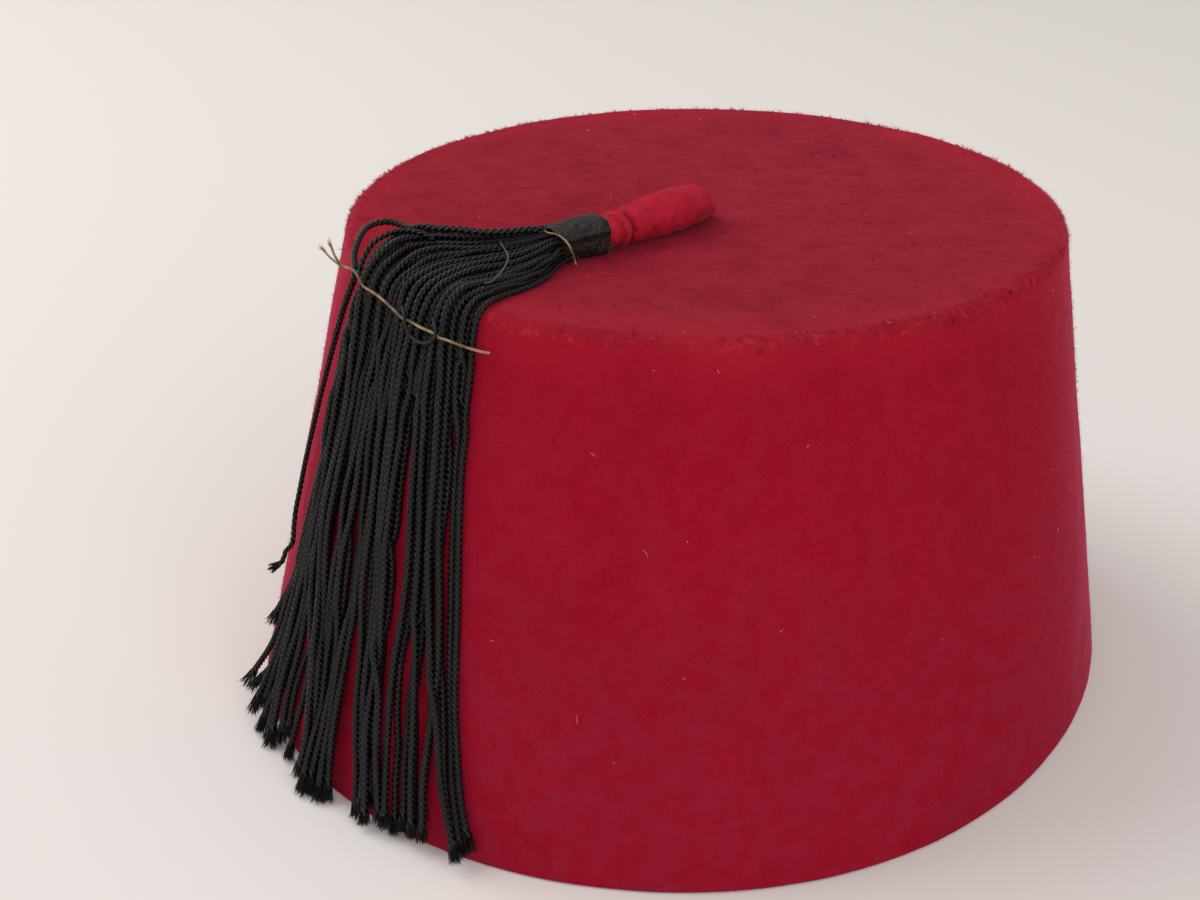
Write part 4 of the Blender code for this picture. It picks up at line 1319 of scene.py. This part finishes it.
# The tacking thread across the hanging cords: azimuth, height and distance off the felt.
TACKING = (
    (247.1, 102.2, 7.4), (247.6, 100.3, 6.4), (248.9, 99.4, 5.5), (251.6, 99.9, 5.1),
    (253.4, 99.1, 4.9), (254.7, 98.2, 4.8), (258.2, 98.0, 4.6), (261.3, 97.2, 4.5),
    (263.9, 96.1, 4.3), (265.2, 96.1, 4.2), (267.5, 95.7, 4.1), (269.8, 95.6, 4.0),
    (270.8, 95.2, 3.9), (274.0, 94.8, 3.6), (276.3, 94.3, 2.2), (277.4, 94.1, 0.9),
)
# Its second free end.
TACKING_END = (
    (251.6, 99.9, 5.1), (248.9, 99.4, 5.5), (247.8, 99.3, 5.9), (246.3, 99.7, 6.7),
    (245.0, 100.4, 7.6),
)
# The dark loop of thread that hangs over it.
DARK_LOOP = (
    (263.6, 98.0, 4.3), (264.6, 97.3, 4.9), (265.1, 96.4, 5.2), (265.3, 95.0, 4.8),
    (265.9, 93.8, 4.5), (267.2, 93.3, 4.4), (268.6, 93.3, 4.4), (269.9, 94.2, 4.5),
    (270.6, 95.4, 4.8), (270.7, 96.5, 5.1), (270.2, 97.3, 4.7), (269.4, 98.0, 4.1),
)
# Threads on the crown: x, y and height above the felt.
MOUTH_THREAD = (
    (-5.3, -45.2, 4.6), (-3.3, -45.8, 5.6), (-1.3, -46.1, 6.0), (1.3, -47.1, 6.0),
    (3.0, -47.4, 5.2), (2.9, -46.3, 3.4), (2.3, -44.9, 1.6), (2.4, -44.6, 0.4),
)
PALE_THREAD = (
    (-8.5, -53.9, 4.4), (-4.1, -57.6, 5.4), (-1.4, -59.5, 5.2), (0.5, -61.5, 5.0),
    (1.8, -63.8, 4.6), (2.5, -65.9, 4.0), (2.9, -68.2, 3.2), (2.5, -69.0, 2.4),
    (1.9, -69.4, 1.6),
)
BORDER_STRAND = (
    (-1.6, -43.6, 2.6), (-1.2, -45.7, 1.6), (0.6, -50.7, 0.9), (1.5, -54.9, 0.6),
    (2.2, -59.4, 0.6), (1.8, -63.2, 0.6), (0.9, -66.3, 0.6), (1.2, -68.5, 0.6),
)


def thread_tube(path, radius, pitch, cords=None, outline=PLY_OUTLINE):
    """A thread along the path, lifted off the cords where they are given with their radii."""
    fine, _ = resample(path, pitch / TURN_RINGS)
    if cords is not None:
        fine = lifted(fine, *cords, radius * THREAD_SEAT)
    return tube_part(twisted(fine, radius, pitch, 0.0, outline))


def thread_brush(path, radius):
    """The spread fibres at a thread's free end."""
    end, run = path[-1], unit(path[-1] - path[-2])
    count = THREAD_END_FIBRES
    roots = end + rng.normal(0, 0.35, (count, 3)) * radius - run * 0.5 * MM
    leave = run + rng.normal(0, 0.14, (count, 3))
    arrive = run + rng.normal(0, 0.35, (count, 3))
    return spikes(roots, leave, arrive, rng.uniform(*THREAD_END_LENGTHS, count) * MM, THREAD_END_RADIUS)


def add_threads(*cords):
    tacking, second = wall_points(TACKING), wall_points(TACKING_END)
    tan = [
        thread_tube(tacking, TACKING_RADIUS, TACKING_PITCH, cords),
        thread_tube(second, TACKING_RADIUS * SECOND_END, TACKING_PITCH),
        thread_tube(crown_points(MOUTH_THREAD), FINE_RADIUS, FINE_PITCH, cords),
        thread_brush(tacking[::-1], TACKING_RADIUS),
        thread_brush(second, TACKING_RADIUS),
    ]
    loop = thread_tube(wall_points(DARK_LOOP), LOOP_RADIUS, LOOP_PITCH, cords)
    pale = thread_tube(crown_points(PALE_THREAD), FINE_RADIUS, PALE_PITCH, cords, ROUND)
    strand = thread_tube(crown_points(BORDER_STRAND), STRAND_RADIUS, STRAND_PITCH, outline=ROUND)
    pieces = (
        ("tan_threads", TAN, 0.7, tan),
        ("dark_loop", DARK_GREY, 0.45, [loop]),
        ("pale_thread", PALE_GREY, 0.5, [pale]),
        ("border_strand", MID_GREY, 0.45, [strand]),
    )
    for name, shades, roughness, parts in pieces:
        add_piece(name, parts, thread_material(name, *shades, roughness))


# ---------------- lint
LINT_FIBRES = 80
LINT_LENGTHS = (-0.35, 0.55, 0.3, 2.6)
LINT_THICK, LINT_THIN, LINT_LONG = 0.05, 0.03, 1.1  # mm: radii, and the length of the thin ones
LINT_LIFT = 0.12  # mm
LINT_COLOUR = rgb(0.70, 0.58, 0.50)


def add_lint():
    count = LINT_FIBRES
    roots, normals = outer_skin_points(count)
    lean = unit(scatter(count, 3))
    along = unit(square_to(normals, lean))
    curl = unit(np.cross(along, normals)) * scatter(count, 1)
    lengths = uneven(count, *LINT_LENGTHS)
    radii = np.where(lengths > LINT_LONG * MM, LINT_THIN, LINT_THICK) * MM
    parts = spikes(roots + normals * LINT_LIFT * MM, along, along + curl, lengths, radii)
    add_piece("pale_lint", [parts], Graph("pale_lint", 0.8).finish(LINT_COLOUR))


# ---------------- nap
NAP_FIBRES, NAP_LENGTHS, NAP_RADII = 20000, (0.4, 1.0), (0.035, 0.055)  # mm
EDGE_TUFTS, TUFT_FIBRES = 420, 10
TUFT_WIDTH = 0.16 * MM
TUFT_SHARES = (0.7, 1.5)  # how long a tuft's fibres are, as shares of the others


def add_nap():
    """More short fibres all over, and small tufts along the crown's edge."""
    roots, normals = outer_skin_points(NAP_FIBRES)
    turns, tilts = rng.uniform(0, TURN, EDGE_TUFTS), rng.uniform(TAPER, 1.5, EDGE_TUFTS)
    tufts = np.repeat(on_edge(turns, tilts, 0.0), TUFT_FIBRES, axis=0)
    tufts = tufts + rng.normal(0, TUFT_WIDTH, tufts.shape)
    roots = np.concatenate([roots, tufts])
    normals = np.concatenate([normals, felt_offset(tufts)[1]])
    count = len(roots)
    lean = scatter(count, 3)
    lengths = rng.uniform(*NAP_LENGTHS, count) * MM
    lengths[NAP_FIBRES:] *= np.repeat(rng.uniform(*TUFT_SHARES, EDGE_TUFTS), TUFT_FIBRES)
    radii = rng.uniform(*NAP_RADII, count) * MM
    nap = bristles(roots - normals * SUNK, normals * 0.8 + lean * 0.6, lengths, radii)
    add_piece("felt_nap", [nap], wool_material(*FUZZ_WOOL))


add_camera()
add_stage()
add_cap()
add_stem()
add_collar()
rng = np.random.default_rng(TASSEL_SEED)
add_threads(*add_tassel())
add_lint()
add_nap()
